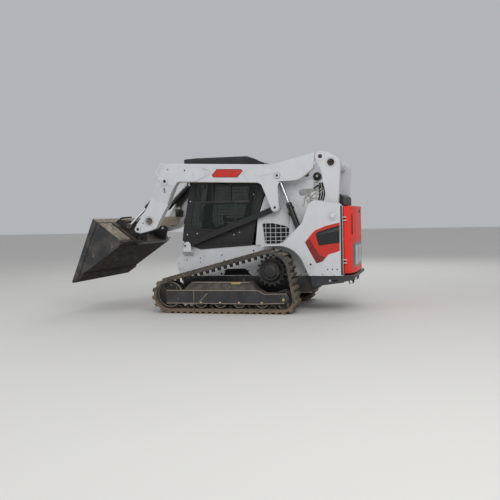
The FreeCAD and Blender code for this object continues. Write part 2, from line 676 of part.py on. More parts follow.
def lift_arm():
    """A box beam with a doubled elbow, joggled inwards to the leg that holds the tool carrier."""
    face = ARM_OUT + DOUBLER
    body = union([plate(arm_outline(), ARM_IN, ARM_OUT), knee_block(),
                  plate(leg_outline(), LEG_IN, LEG_OUT), elbow_guard()])
    outline = plate(arm_outline(), ARM_OUT, face)
    for doubler in ([(-60, 1867, 70), (190, 1950, 80), (800, 2150), (900, 1868), (452, 1640),
                     (173, 1760, 80)],
                    [(-430, 1840, 60), (-700, 1950), (-1300, 2150), (-1700, 2000), (-1300, 1500),
                     (-900, 1300), (-700, 1400), (-520, 1750, 60)]):
        body = body.fuse(plate(doubler, ARM_OUT, face).common(outline))
    tongue = plate([(-1494, 2090, 60), (-1400, 2070), (-1380, 1900), (-1460, 1940, 30),
                    (-1566, 2010, 60)], TONGUE_IN, TONGUE_OUT)
    clear = disc(A1, 82, ARM_IN - 1, face + 1)
    cavity = [(-820, 1500), (-820, 1700), (-846, 1905, 30), (-900, 1932, 30), (-1100, 1915, 60),
              (-1200, 1800), (-1275, 1735), (-1275, 1500)]
    body = body.cut(clear).cut(plate(cavity, LIFT_Y - 44, LIFT_Y + 44))
    body = union([body, tongue, disc(A1, 66, TONGUE_IN, TONGUE_OUT),
                  disc(B1, 56, ARM_IN, ARM_OUT), disc(B1, PIN_R, BAR_IN - 2, ARM_IN + 5),
                  disc(B1, 48, ARM_OUT, ARM_OUT + 12), disc(LIFT_TOP, 36, face, face + 8),
                  disc(TILT_PIN, PIVOT_R, CARRIER_IN - 2, LEG_IN + 5),
                  ring(TILT_PIN, 44, 22, LEG_OUT, LEG_OUT + 10),
                  disc(TILT_BASE, PIN_R, TILT_Y - 36, ARM_IN + 10),
                  disc(TILT_BASE, 46, TILT_Y + 38, ARM_IN + 5),
                  disc(TILT_BASE, 46, ARM_OUT - 30, face + 8)])
    slot = [(638, 1608, 14), (638, 1674, 14), (668, 1674, 14), (668, 1608, 14)]
    for cut in (disc(FRONT_TUBE, FRONT_BORE_R, LEG_IN - 1, LEG_OUT + 1),
                disc(A1, LINK_PIN_R + PIN_FIT, ARM_IN, face),
                disc(TILT_BASE, 23, ARM_OUT - 20, face + 9),
                plate(slot, LEG_OUT, ARM_OUT + 1)):
        body = body.cut(cut)
    return body


def front_cross_tube():
    return ring(FRONT_TUBE, FRONT_TUBE_R, FRONT_BORE_R, -LEG_IN, LEG_IN)


# Rear links

def rear_link():
    """A plate with a fork at its top for the arm's tongue, on a pin through both."""
    face = ARM_OUT + DOUBLER
    outline = [(-1430, 2015, 60), (-1500, 2092, 66), (-1600, 2068, 100), (-1752, 1975, 90),
               (-1707, 1230, 50), (-1590, 1190, 50), (-1575, 1420), (-1503, 1850, 200),
               (-1440, 1950, 20)]
    body = union([plate(outline, ARM_IN, face), disc(A1, 70, ARM_IN, face), disc(A0, 62, ARM_IN, face)])
    mouth = [(-1700, 2200), (-1300, 2200), (-1300, 1780), (-1500, 1830), (-1560, 1960, 60)]
    body = body.cut(plate(mouth, TONGUE_IN - 5, TONGUE_OUT + 5))
    body = body.cut(disc(LINK_TUBE, LINK_BORE_R, ARM_IN - 1, face + 1))
    return union([body, disc(A1, LINK_PIN_R, ARM_IN, face), ring(A1, 58, 28, face, face + 6)])


def link_cross_tube():
    return ring(LINK_TUBE, LINK_TUBE_R, LINK_BORE_R, -ARM_IN, ARM_IN)


def control_link():
    length = math.dist(B0, B1)
    tilt = degrees_between(B0, B1)
    body = box(0, length, BAR_IN, BAR_OUT, -37, 37)
    body.rotate(V(0, 0, 0), V(0, -1, 0), tilt)
    body.translate(V(B0[0], 0, B0[1]))
    body = union([body, disc(B0, 46, BAR_IN, BAR_OUT), disc(B1, 48, BAR_IN, BAR_OUT)])
    for pin in (B0, B1):
        body = body.cut(disc(pin, PIN_R + PIN_FIT, BAR_IN - 1, BAR_OUT + 1))
    return body


# Cylinders

def barrel(foot, head, y, radius, rod_radius, length, eye, width):
    """A hydraulic barrel from its foot pin towards the head, bored for the rod."""
    a = math.radians(degrees_between(foot, head))
    way = V(math.cos(a), 0, math.sin(a))
    base = V(foot[0], y, foot[1])
    tube = Part.makeCylinder(radius, length - eye * 0.7, base + way * (eye * 0.7), way)
    lug = disc(foot, eye, y - width / 2, y + width / 2)
    body = union([tube, lug])
    bore = Part.makeCylinder(rod_radius + PIN_FIT, length, base + way * (eye + 10), way)
    return body.cut(bore)


def piston_rod(foot, head, y, radius, stay, eye, width):
    """The rod from inside the barrel to its eye at the head pin."""
    a = math.radians(degrees_between(foot, head))
    way = V(math.cos(a), 0, math.sin(a))
    base = V(foot[0], y, foot[1])
    length = math.dist(foot, head) - stay
    rod = Part.makeCylinder(radius, length, base + way * stay, way)
    return union([rod, disc(head, eye, y - width / 2, y + width / 2)])


TILT_TOP = polar(TILT_PIN, TILT_ARM, TILT_ARM_DEG)


def lift_barrel():
    body = barrel(LIFT_BOTTOM, LIFT_TOP, LIFT_Y, LIFT_R, LIFT_ROD_R, 850, 44, 70)
    return body.cut(disc(LIFT_BOTTOM, LIFT_PIN_R + PIN_FIT, LIFT_Y - 50, LIFT_Y + 50))


def lift_rod():
    stay = math.dist(LIFT_BOTTOM, LIFT_TOP) - LIFT_ROD_LENGTH
    return piston_rod(LIFT_BOTTOM, LIFT_TOP, LIFT_Y, LIFT_ROD_R, stay, 38, 70)


def tilt_barrel():
    body = barrel(TILT_BASE, TILT_TOP, TILT_Y, TILT_R, TILT_ROD_R, 500, 42, 66)
    return body.cut(disc(TILT_BASE, PIN_R + PIN_FIT, TILT_Y - 50, TILT_Y + 50))


def tilt_rod():
    stay = math.dist(TILT_BASE, TILT_TOP) - TILT_ROD_LENGTH
    return piston_rod(TILT_BASE, TILT_TOP, TILT_Y, TILT_ROD_R, stay, 34, 60)


# Tool carrier and bucket, laid out along the bucket's back

def unit(a, b):
    length = math.dist(a, b)
    return ((b[0] - a[0]) / length, (b[1] - a[1]) / length)


BACK = unit(HEEL, LIP)
FLOOR = unit(HEEL, EDGE)


def on_back(along, off):
    """A point given by its distance up the bucket's back from the heel, and off it."""
    return (HEEL[0] + BACK[0] * along - BACK[1] * off, HEEL[1] + BACK[1] * along + BACK[0] * off)


def on_floor(along, off):
    """A point given by its distance along the floor from the heel, and above it."""
    return (HEEL[0] + FLOOR[0] * along - FLOOR[1] * off, HEEL[1] + FLOOR[1] * along + FLOOR[0] * off)


def rounded(point, radius):
    return (point[0], point[1], radius)


def carrier():
    cheek = [on_back(-60, 0), rounded(on_back(-94, 66), 8), rounded(on_back(-10, 232), 50),
             rounded(on_back(110, 240), 60), rounded(on_back(300, 150), 60),
             rounded(on_back(440, 60), 20), on_back(440, 0)]
    plates = [plate(cheek, y, y + CARRIER_T) for y in (CARRIER_IN, -CARRIER_OUT)]
    face = plate([on_back(20, 0), on_back(20, 16), on_back(430, 16), on_back(430, 0)], -545, 545)
    window = [on_back(165, -1), on_back(165, 20), on_back(310, 20), on_back(310, -1)]
    for y0, y1 in ((-250, 250), (TILT_Y - 37, TILT_Y + 37), (-TILT_Y - 37, 37 - TILT_Y)):
        face = face.cut(plate(window, y0, y1))
    toe = plate([on_back(-60, 0), rounded(on_back(-94, 66), 5), on_back(-80, 70), on_back(20, 16),
                 on_back(20, 0)], -545, 545)
    tube = disc(on_back(240, 60), 36, -CARRIER_IN, CARRIER_IN)
    body = union(plates + [face, toe, tube])
    return body.cut(disc(TILT_PIN, PIVOT_R + PIN_FIT, -CARRIER_OUT - 1, CARRIER_OUT + 1))


def bucket():
    """A welded shell with a stiffened lip and a cutter on each side's edge."""
    mouth = [LIP, rounded(HEEL, HEEL_R), EDGE]
    full = plate(mouth, -BUCKET_W, BUCKET_W)
    lift = SHELL / math.sin(math.acos(-(BACK[0] * FLOOR[0] + BACK[1] * FLOOR[1])))
    corner = (HEEL[0] + (BACK[0] + FLOOR[0]) * lift, HEEL[1] + (BACK[1] + FLOOR[1]) * lift)
    far_back = (corner[0] + BACK[0] * 900, corner[1] + BACK[1] * 900)
    far_floor = (corner[0] + FLOOR[0] * 1500, corner[1] + FLOOR[1] * 1500)
    wall_y = BUCKET_W - SHELL
    hollow = plate([far_back, rounded(corner, HEEL_R - SHELL), far_floor], -wall_y, wall_y)
    shell = full.cut(hollow)
    way = unit(EDGE, LIP)
    off = (way[1], -way[0])
    edge = [LIP, (LIP[0] - off[0] * 66, LIP[1] - off[1] * 66),
            (EDGE[0] - off[0] * 66, EDGE[1] - off[1] * 66), EDGE]
    cutter_y = BUCKET_W + CUTTER_T
    cutter = plate(edge, BUCKET_W, cutter_y).common(plate(mouth, BUCKET_W, cutter_y))
    top = plate([LIP, on_back(470, 0), on_back(470, -40), (LIP[0] - off[0] * 4 + 14, LIP[1] - 36)],
                -wall_y, wall_y)
    return union([shell, top.common(full), cutter, mirrored(cutter)])


def cutting_edge():
    return plate([on_floor(740, 0), on_floor(938, 0), on_floor(925, -22), on_floor(740, -22)],
                 -BUCKET_W, BUCKET_W)


def main():
    os.makedirs("parts", exist_ok=True)
    nodes = {}
    left_track = track()
    nodes["left_track"] = left_track
    nodes["right_track"] = mirrored(left_track)
    for build in (track_frame, tower, cab_side, lift_arm, rear_link):
        shape = build()
        nodes["left_" + build.__name__] = shape
        nodes["right_" + build.__name__] = mirrored(shape)
    nodes["left_tower"] = hinged(nodes["left_tower"])
    for build in (main_frame, engine, engine_deck, rear_grille, bumper, tailgate, cab_back, cab_roof,
                  front_door, cab_glass, seat_base, seat_cushion, seat_back, cab_floor, consoles,
                  front_lamps, front_cross_tube, link_cross_tube, carrier, bucket, cutting_edge):
        nodes[build.__name__] = build()
    for build in (sprocket, side_panel, control_link, lift_barrel, lift_rod, tilt_barrel, tilt_rod):
        nodes[build.__name__ + "s"] = pair(build())
    nodes["rollers"] = pair(rollers())
    nodes["idlers"] = pair(idlers())
    for name, shape in nodes.items():
        shape.exportStep("parts/" + name + ".step")
        print(name, len(shape.Solids), shape.isValid(), round(shape.Volume / 1e6, 2))


if __name__ == "__main__":
    main()
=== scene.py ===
import bmesh
import bpy
import json
import math
from functools import partial
from mathutils import Matrix, Vector


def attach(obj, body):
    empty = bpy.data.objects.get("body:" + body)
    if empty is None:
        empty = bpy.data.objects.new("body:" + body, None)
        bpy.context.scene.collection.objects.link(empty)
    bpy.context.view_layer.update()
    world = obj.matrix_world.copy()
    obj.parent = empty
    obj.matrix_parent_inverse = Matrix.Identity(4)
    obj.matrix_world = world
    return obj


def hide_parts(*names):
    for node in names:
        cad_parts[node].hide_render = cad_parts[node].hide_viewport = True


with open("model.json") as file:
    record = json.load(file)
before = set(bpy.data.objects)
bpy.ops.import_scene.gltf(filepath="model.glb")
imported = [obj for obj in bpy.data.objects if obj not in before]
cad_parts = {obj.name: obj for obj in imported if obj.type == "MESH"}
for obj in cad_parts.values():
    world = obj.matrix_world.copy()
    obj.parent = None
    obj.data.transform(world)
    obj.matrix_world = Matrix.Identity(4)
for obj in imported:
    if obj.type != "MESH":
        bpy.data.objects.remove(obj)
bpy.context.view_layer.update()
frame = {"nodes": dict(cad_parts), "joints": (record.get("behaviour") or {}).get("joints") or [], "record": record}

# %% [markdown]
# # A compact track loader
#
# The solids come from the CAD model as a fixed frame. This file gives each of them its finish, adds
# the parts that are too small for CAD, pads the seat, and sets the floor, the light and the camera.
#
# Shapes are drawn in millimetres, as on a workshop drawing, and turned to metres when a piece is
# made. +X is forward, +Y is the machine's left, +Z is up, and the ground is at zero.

MM = 0.001
nodes = frame["nodes"]
scene = bpy.context.scene
pin = {joint["name"]: Vector(joint["pos_m"]) / MM for joint in frame["joints"] if "pos_m" in joint}

# %% [markdown]
# ## Colours and nodes
#
# A colour is picked from a screen as an sRGB hex value, but a shader works with linear light, so
# one function turns the one into the other. A second small function adds a shader node, sets it
# and joins it up; every finish below is written with it.

# %% From hex to linear, and one way to add a node
def srgb(code, gain=1.0):
    """The linear colour of an sRGB hex value, with full alpha."""
    parts = [int(code[i:i + 2], 16) / 255 for i in (0, 2, 4)]
    linear = [p / 12.92 if p <= 0.04045 else ((p + 0.055) / 1.055) ** 2.4 for p in parts]
    return (*[min(1.0, p * gain) for p in linear], 1.0)


def add(tree, kind, settings=None, **inputs):
    """Adds a node and gives its output. An input is a number, a colour or another output."""
    made = tree.nodes.new("ShaderNode" + kind)
    for name, value in (settings or {}).items():
        setattr(made, name, value)
    sockets = {socket.identifier.replace(" ", "_"): socket for socket in made.inputs}
    for name, value in inputs.items():
        if isinstance(value, bpy.types.NodeSocket):
            tree.links.new(value, sockets[name])
        else:
            sockets[name].default_value = value
    return next((output for output in made.outputs if output.enabled), None)


def per(mm):
    """The scale of a noise whose blots are about this wide, since it is measured in metres."""
    return 1.0 / (mm * MM)


SOIL_DARK, SOIL_LIGHT = "43362b", "8f7e69"
WET_SOIL_AND_SHADE_DARK, WET_SOIL_AND_SHADE_LIGHT = "0a0705", "2e2118"
DUST, DIRTY_WATER = "a89b88", "5f5142"
COLOUR = {"data_type": "RGBA"}
TIMES = {"operation": "MULTIPLY"}

# %% [markdown]
# ## What time does to a finish, and painted shade
#
# A working machine is never one even colour. Paint varies a little over a plate, scratches run
# along it, dust settles on what looks up, rain draws streaks down, damp soil sticks to what looks
# down and is made darker there as painted shade, and dry soil cakes whatever is near the ground.
# Each of these is one layer, a function that takes the look so far, a pair of colour and
# roughness, and returns it changed. So a finish is a short list of layers.

# %% Layers of wear, and of painted shade
def laid(node, look, share, colour, rough=None):
    """The look under a layer that covers this share of it."""
    over = node("Mix", COLOUR, Factor_Float=share, A_Color=look[0], B_Color=colour)
    if rough is None:
        return over, look[1]
    return over, node("Mix", Factor_Float=share, A_Float=look[1], B_Float=rough)


def scratched(node, place, look, amount, bare):
    """Thin long marks through to what is under the paint."""
    along = node("Mapping", Vector=place, Scale=(1.0, 1.0, 0.22))
    marks = node("TexNoise", Vector=along, Scale=per(34), Detail=7.0, Roughness=0.72)
    worn = node("MapRange", Value=marks, From_Min=0.67 - amount * 0.11, From_Max=0.70)
    return laid(node, look, worn, srgb(bare), 0.40)


def streaked(node, place, look, amount):
    """Dirty water marks, stretched downwards."""
    down = node("Mapping", Vector=place, Scale=(1.0, 1.0, 0.16))
    runs = node("TexNoise", Vector=down, Scale=per(120), Detail=5.0, Roughness=0.6)
    some = node("MapRange", Value=runs, From_Min=0.50, From_Max=0.78, To_Max=amount)
    return laid(node, look, some, srgb(DIRTY_WATER))


def dusted(node, place, up, look, amount):
    """Dust, thick where a face looks up and thin in patches elsewhere."""
    level = node("MapRange", Value=up, From_Min=0.25, From_Max=0.95, To_Max=amount)
    blots = node("TexNoise", Vector=place, Scale=per(70), Detail=5.0, Roughness=0.65)
    patch = node("MapRange", Value=blots, From_Min=0.30, From_Max=0.62, To_Max=1.4)
    lying = node("Math", TIMES, Value=level, Value_001=patch)
    haze = node("TexNoise", Vector=place, Scale=per(200), Detail=5.0)
    thin = node("MapRange", Value=haze, From_Min=0.42, From_Max=0.75,
                To_Max=min(amount, 0.6) * 0.3)
    film = node("Math", {"operation": "MAXIMUM"}, Value=lying, Value_001=thin)
    return laid(node, look, film, srgb(DUST), 0.92)


def splashed_and_shaded(node, place, up, look, amount):
    """Damp soil on what looks down, made darker there as painted shade."""
    under = node("MapRange", Value=up, From_Min=-0.15, From_Max=-0.55, To_Max=amount)
    lumps = node("TexNoise", Vector=place, Scale=per(90), Detail=7.0, Roughness=0.7)
    patch = node("MapRange", Value=lumps, From_Min=0.30, From_Max=0.50)
    wet = node("Math", TIMES, Value=under, Value_001=patch)
    crumbs = node("TexNoise", Vector=place, Scale=per(30), Detail=5.0)
    earth = laid(node, (srgb(WET_SOIL_AND_SHADE_DARK), None), crumbs, srgb(WET_SOIL_AND_SHADE_LIGHT))[0]
    return laid(node, look, wet, earth, 0.95)


def caked(node, place, look, full, none):
    """Dried soil: solid at the height full, gone at none, in clods of 45 mm and crumbs of 15 mm."""
    height = node("SeparateXYZ", Vector=place).node.outputs["Z"]
    share = node("MapRange", Value=height, From_Min=none, From_Max=full, To_Max=0.62)
    clods = node("TexNoise", Vector=place, Scale=per(45), Detail=8.0, Roughness=0.68)
    thick = node("Math", Value=share, Value_001=clods)
    mud = node("MapRange", Value=thick, From_Min=0.80, From_Max=0.92)
    crumbs = node("TexNoise", Vector=place, Scale=per(15), Detail=4.0)
    earth = laid(node, (srgb(SOIL_DARK), None), crumbs, srgb(SOIL_LIGHT))[0]
    return laid(node, look, mud, earth, 0.96), node("Math", TIMES, Value=mud, Value_001=clods)


# %% A finish from its layers
def made_of(name, code, rough, ior=1.5, metal=0.0, coat=0.0, tint=0.05, wear=0.0, bare="8a8782",
            streaks=0.0, dust=0.0, under=0.0, soil=None, grain=None, clear=1.0):
    """A finish from its base and its layers. grain is width and depth in mm, and strength."""
    material = bpy.data.materials.new(name)
    material.use_nodes = True
    material.node_tree.nodes.clear()
    node = partial(add, material.node_tree)
    where = node("TexCoord").node.outputs
    place = where["Object"]
    up = node("SeparateXYZ", Vector=where["Normal"]).node.outputs["Z"]
    drift = node("TexNoise", Vector=place, Scale=per(250), Detail=3.0)
    blots = node("TexNoise", Vector=place, Scale=per(110), Detail=3.0)
    gloss = node("MapRange", Value=blots, To_Min=rough * 0.85, To_Max=min(1.0, rough * 1.15))
    look = laid(node, (srgb(code, 1 - 2 * tint), gloss), drift, srgb(code, 1 + tint))
    if wear:
        look = scratched(node, place, look, wear, bare)
    if streaks:
        look = streaked(node, place, look, streaks)
    if dust:
        look = dusted(node, place, up, look, dust)
    # damp soil, and painted shade on the faces that look down
    if under:
        look = splashed_and_shaded(node, place, up, look, under)
    relief = {}
    if soil:
        look, clods = caked(node, place, look, *soil)
        relief = {"Normal": node("Bump", Height=clods, Strength=0.7, Distance=4 * MM)}
    elif grain:
        width, depth, strength = grain
        fine = node("TexNoise", Vector=place, Scale=per(width), Detail=3.0)
        relief = {"Normal": node("Bump", Height=fine, Strength=strength, Distance=depth * MM)}
    shader = node("BsdfPrincipled", Base_Color=look[0], Roughness=look[1], Metallic=metal, IOR=ior,
                  Coat_Weight=coat, Coat_Roughness=0.12, Alpha=clear, **relief)
    node("OutputMaterial", Surface=shader)
    return material

# %% [markdown]
# ## The finishes
#
# Each finish is named for the real thing and how it was put on. Paint and plastic have an IOR near
# 1.5, and rubber and glass 1.52. A grain too fine to show at this size is drawn a little coarser.

# %% Paint
FINISHES = {
    # two-pack enamel sprayed on plate: a clean light grey-white with the faint ripple of spray
    "sprayed_white_enamel": dict(
        code="cdced1", rough=0.38, coat=0.25, tint=0.03, dust=0.18, streaks=0.10,
        soil=(0.05, 0.78), grain=(3.0, 0.4, 0.08)),
    # the same paint on the arms, above the reach of soil
    "sprayed_white_arms": dict(
        code="cdced2", rough=0.36, coat=0.25, tint=0.03, dust=0.16, streaks=0.08,
        grain=(3.0, 0.4, 0.08)),
    # paint along a lip or seam, where dust and rust gather in a brown line; round the pin bosses the same brown
    # ring is painted shade
    "dusty_edge": dict(code="988d80", rough=0.7, tint=0.12, dust=0.6, streaks=0.3),
    # the same paint where boots and oil reach it: yellowed and dirty
    "soiled_white_enamel": dict(code="dcc9a8", rough=0.55, tint=0.08, dust=0.20, streaks=0.22),
    # polyester powder baked on a pressed cover: strong even colour, soft gloss
    "red_powder_coat": dict(
        code="ee2810", rough=0.50, coat=0.05, tint=0.04, dust=0.03, streaks=0.10,
        grain=(3.0, 0.4, 0.10)),
    # fine-textured powder on the cab: near black, slightly blue, catches dust
    "charcoal_powder_coat": dict(
        code="131417", rough=0.55, dust=0.04, streaks=0.04, grain=(2.0, 0.4, 0.15)),
    "roof_powder_coat": dict(code="1f2125", rough=0.40, dust=0.10, grain=(2.0, 0.4, 0.15)),
    # black chassis enamel, knocked and washed over with mud
    "muddy_black_enamel": dict(
        code="26282d", rough=0.46, dust=0.30, streaks=0.45, wear=0.25, soil=(-0.75, 0.45)),
    "black_tool_enamel": dict(code="1b1c1f", rough=0.48, dust=0.30, streaks=0.20, wear=0.4),
    "thick_plate_enamel": dict(code="2c2f34", rough=0.45, dust=0.25, streaks=0.15, wear=0.3),
    # gloss enamel on cylinder tubes: a sharp long highlight
    "gloss_black_enamel": dict(code="101113", rough=0.30, coat=0.2, dust=0.05),
    "engine_enamel": dict(code="4a4b4c", rough=0.6, dust=0.3),
    "seat_frame_powder": dict(code="202022", rough=0.5, dust=0.2),
}

# %% Metal
FINISHES.update({
    # bucket plate: black paint that soil has rubbed through to dull steel; damp soil and painted shade darken its
    # underside
    "abraded_bucket_plate": dict(
        code="26272b", rough=0.55, metal=0.05, tint=0.10, dust=1.0, streaks=0.10, wear=0.5,
        under=1.0),
    # hardened edge, ground bare by work; damp soil and painted shade darken its underside
    "worn_edge_steel": dict(
        code="2f2c2a", rough=0.55, metal=0.3, tint=0.10, dust=0.35, streaks=0.25, wear=0.4,
        under=1.0),
    # castings with painted webs and rims rubbed bright by the belt
    "worn_cast_iron": dict(
        code="252527", rough=0.48, metal=0.35, tint=0.12, dust=0.22, streaks=0.30, wear=0.9,
        bare="a29a8e", soil=(-0.75, 0.60)),
    # the wheels' running edges, scoured bright by grit
    "bright_worn_rim": dict(
        code="8f887c", rough=0.45, metal=0.4, tint=0.15, dust=0.2, streaks=0.3),
    # hard chrome, ground and polished: near mirror
    "hard_chrome": dict(code="c9ccd0", rough=0.12, metal=1.0, tint=0.02),
    # bright zinc on bolts, tubes and fittings: pale, faintly yellow, half dull
    "zinc_plate": dict(code="c4c1b4", rough=0.36, metal=0.55, tint=0.06, dust=0.12),
    # the same plating with a yellow chromate film, on the roller bolts
    "brass_tinted_zinc": dict(code="c9b98a", rough=0.36, metal=0.7, tint=0.08, dust=0.2),
    # unpainted pin ends, browned by rust and grease
    "rusty_pin_steel": dict(code="40302a", rough=0.62, metal=0.3, tint=0.18, dust=0.2),
})

# %% Rubber, plastic and print
FINISHES.update({
    # moulded track rubber under dried soil, rubbed darker on its edges
    "vulcanised_track": dict(
        code="3b3937", rough=0.84, ior=1.52, tint=0.12, dust=0.70, streaks=0.55,
        soil=(-0.35, 1.20), grain=(8.0, 1.2, 0.5)),
    # extruded window seal: soft black with a weak sheen
    "extruded_rubber": dict(code="161617", rough=0.55, ior=1.52, dust=0.22),
    # woven reinforcement shows through the hose cover as a fine ripple
    "hose_rubber": dict(code="1b1b1c", rough=0.50, ior=1.52, dust=0.30, grain=(5.0, 0.5, 0.3)),
    # sewn vinyl with a leather print, pebbles of about 3 mm
    "pebbled_vinyl": dict(code="2a2a2c", rough=0.52, dust=0.14, grain=(3.2, 0.6, 0.45)),
    "ribbed_rubber_mat": dict(code="242424", rough=0.8, dust=0.6, soil=(0.2, 0.9)),
    "moulded_polypropylene": dict(code="1c1c1e", rough=0.6, dust=0.08, grain=(1.6, 0.3, 0.3)),
    "clear_polycarbonate": dict(code="c4c8cc", rough=0.10, ior=1.58, dust=0.08, coat=0.5),
    # an opening with nothing to see in it: flat black as painted shade, and the black wires of the window screens
    "void_black": dict(code="080808", rough=0.8),
    # printed self-adhesive vinyl: flat, clean-edged, under a clear layer
    "red_print": dict(code="c52a1a", rough=0.28, coat=0.4, tint=0.08, dust=0.08),
    "dark_red_print": dict(code="7d1b14", rough=0.32, coat=0.4, tint=0.14, dust=0.10),
    "black_print": dict(code="161719", rough=0.3, coat=0.3, tint=0.05, dust=0.06),
    "grey_print": dict(code="3c3f43", rough=0.30, coat=0.4, tint=0.06, dust=0.10),
    "pale_print": dict(code="b9bbbd", rough=0.35, coat=0.3, tint=0.05, dust=0.2, streaks=0.2),
    "yellow_print": dict(code="c9a227", rough=0.4, dust=0.35, streaks=0.4),
    # green-tinted toughened glass: dark, and it mirrors the sky a little
    "tinted_glass": dict(code="0a1c15", rough=0.04, ior=1.52, tint=0.10, clear=0.52),
})
finish = {name: made_of(name, **layers) for name, layers in FINISHES.items()}
print("finishes:", len(finish))

# %% [markdown]
# ## Each CAD solid gets its finish
#
# The record names a material slot for each solid. The first table says which finish each slot is,
# the second names the few solids whose finish differs from the rest of their slot, and the third
# says in which slot the other finishes of this file belong.

# %% Slots to finishes
SLOT_FINISH = {
    "body_white": "sprayed_white_enamel", "body_red": "red_powder_coat",
    "frame_charcoal": "charcoal_powder_coat", "roof_charcoal": "roof_powder_coat",
    "engine_grey": "engine_enamel", "bumper_steel": "thick_plate_enamel", "glass": "tinted_glass",
    "seat_metal": "seat_frame_powder", "seat_vinyl": "pebbled_vinyl",
    "floor_black": "ribbed_rubber_mat", "console_plastic": "moulded_polypropylene",
    "lamp": "clear_polycarbonate", "track_rubber": "vulcanised_track",
    "wheel_steel": "worn_cast_iron", "carrier_black": "black_tool_enamel",
    "bucket_steel": "abraded_bucket_plate", "edge_steel": "worn_edge_steel",
    "barrel_black": "gloss_black_enamel", "rod_chrome": "hard_chrome",
}
OWN_FINISH = {
    "left_lift_arm": "sprayed_white_arms", "right_lift_arm": "sprayed_white_arms",
    "left_rear_link": "sprayed_white_arms", "right_rear_link": "sprayed_white_arms",
    "left_track_frame": "muddy_black_enamel", "right_track_frame": "muddy_black_enamel",
    "front_cross_tube": "soiled_white_enamel",
}
SHARED_SLOT = {
    "body_white": ("sprayed_white_arms", "soiled_white_enamel"),
    "body_red": ("red_print", "dark_red_print"),
    "frame_charcoal": ("muddy_black_enamel", "black_print", "grey_print"),
    "seat_metal": ("extruded_rubber", "hose_rubber"),
    "rod_chrome": ("zinc_plate", "brass_tinted_zinc"),
    "carrier_black": ("void_black", "rusty_pin_steel"),
    "bumper_steel": ("yellow_print", "pale_print", "dusty_edge"),
    "wheel_steel": ("bright_worn_rim",),
}
finish_slot = {look: slot for slot, look in SLOT_FINISH.items()}
finish_slot.update({look: slot for slot, looks in SHARED_SLOT.items() for look in looks})
slot_of = {row["node"]: row["material_slot"] for row in frame["record"]["subparts"]}
for name, item in nodes.items():
    look = OWN_FINISH.get(name, SLOT_FINISH[slot_of[name]])
    for place in item.material_slots:
        place.material = finish[look]
print("solids with a finish:", len(slot_of))

# %% [markdown]
# ## Drawing small parts
#
# Almost every fitting on such a machine is a plate with rounded corners, a turned part, or a tube.
# So there are three tools, which all draw on one bench. When a piece is drawn, it gets its name and
# its finish and rides on its body, and the bench is empty again. Most pieces are on both sides of
# the machine, so the mesh gets its mirror image unless it is told not to.

# %% The bench, and a piece made on it
bench = bmesh.new()


def taken(name):
    """What is on the bench as a mesh in metres. It leaves the bench empty."""
    bmesh.ops.scale(bench, vec=(MM, MM, MM), verts=bench.verts)
    mesh = bpy.data.meshes.new(name)
    bench.to_mesh(mesh)
    bench.clear()
    return mesh


def placed(name, data):
    item = bpy.data.objects.new(name, data)
    scene.collection.objects.link(item)
    return item


def piece(name, look, body="chassis", both=True):
    if both:
        whole = bench.verts[:] + bench.edges[:] + bench.faces[:]
        copy = bmesh.ops.duplicate(bench, geom=whole)["geom"]
        for vert in [g for g in copy if isinstance(g, bmesh.types.BMVert)]:
            vert.co.y *= -1
        bmesh.ops.reverse_faces(bench, faces=[g for g in copy if isinstance(g, bmesh.types.BMFace)])
    mesh = taken(name)
    mesh.shade_smooth()
    mesh.set_sharp_from_angle(angle=math.radians(32))
    mesh.materials.append(finish[look])
    item = placed(name, mesh)
    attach(item, body)
    print(name, "faces:", len(mesh.polygons))


# %% Plates with rounded corners
def rounded(points, steps=5):
    """An outline (a, b) in mm, with an arc where a corner also has a radius."""
    line = []
    for i, point in enumerate(points):
        here = Vector(point[:2])
        if len(point) < 3:
            line.append(here)
            continue
        u = (Vector(points[i - 1][:2]) - here).normalized()
        w = (Vector(points[(i + 1) % len(points)][:2]) - here).normalized()
        half = u.angle(w) / 2
        middle = here + (u + w).normalized() * point[2] / math.sin(half)
        first = here + u * point[2] / math.tan(half) - middle
        last = here + w * point[2] / math.tan(half) - middle
        turn = first.angle(last)
        for k in range(steps + 1):
            a = turn * k / steps
            line.append(middle + (first * math.sin(turn - a) + last * math.sin(a)) / math.sin(turn))
    return line


def skin(rings, hollow=False):
    """Walls from each ring of corners to the next, and a lid on each end or walls back again."""
    rings = [[bench.verts.new(corner) for corner in ring] for ring in rings]
    faces = [] if hollow else [bench.faces.new(rings[0]), bench.faces.new(rings[-1])]
    for low, high in zip(rings, rings[1:] + (rings[:1] if hollow else [])):
        for k in range(len(low)):
            n = (k + 1) % len(low)
            faces.append(bench.faces.new((low[k], low[n], high[n], high[k])))
    bmesh.ops.recalc_face_normals(bench, faces=faces)
    return faces


def plate(outline, low, high, edge=0.0, way="Y", steps=5):
    """A plate with this outline, from low to high along an axis, with softened edges."""
    line, axis = rounded(outline, steps), "XYZ".index(way)
    faces = skin([[(*p[:axis], along, *p[axis:]) for p in line] for along in (low, high)])
    if edge:
        rims = [e for face in faces[:2] for e in face.edges]
        bmesh.ops.bevel(bench, geom=rims, offset=edge, segments=2, profile=0.5, affect="EDGES")


def block(low, high, edge=2.0):
    """A rectangular bar between two corners, with softened edges."""
    plate([(low[0], low[2]), (high[0], low[2]), (high[0], high[2]), (low[0], high[2])], low[1],
          high[1], edge)


# %% Turned parts and bolts
OUT, IN = Vector((0, 1, 0)), Vector((0, -1, 0))     # away from the centre plane, and towards it


def at(place, y):
    """A place (x, z) seen from the side, y mm from the centre plane."""
    return Vector((place[0], y, place[-1]))


def around(place, radius, count, first=0.0):
    """Places (x, z) spaced evenly on a circle, as for a ring of bolts."""
    turns = [first + 2 * math.pi * k / count for k in range(count)]
    return [(place[0] + radius * math.cos(a), place[1] + radius * math.sin(a)) for a in turns]


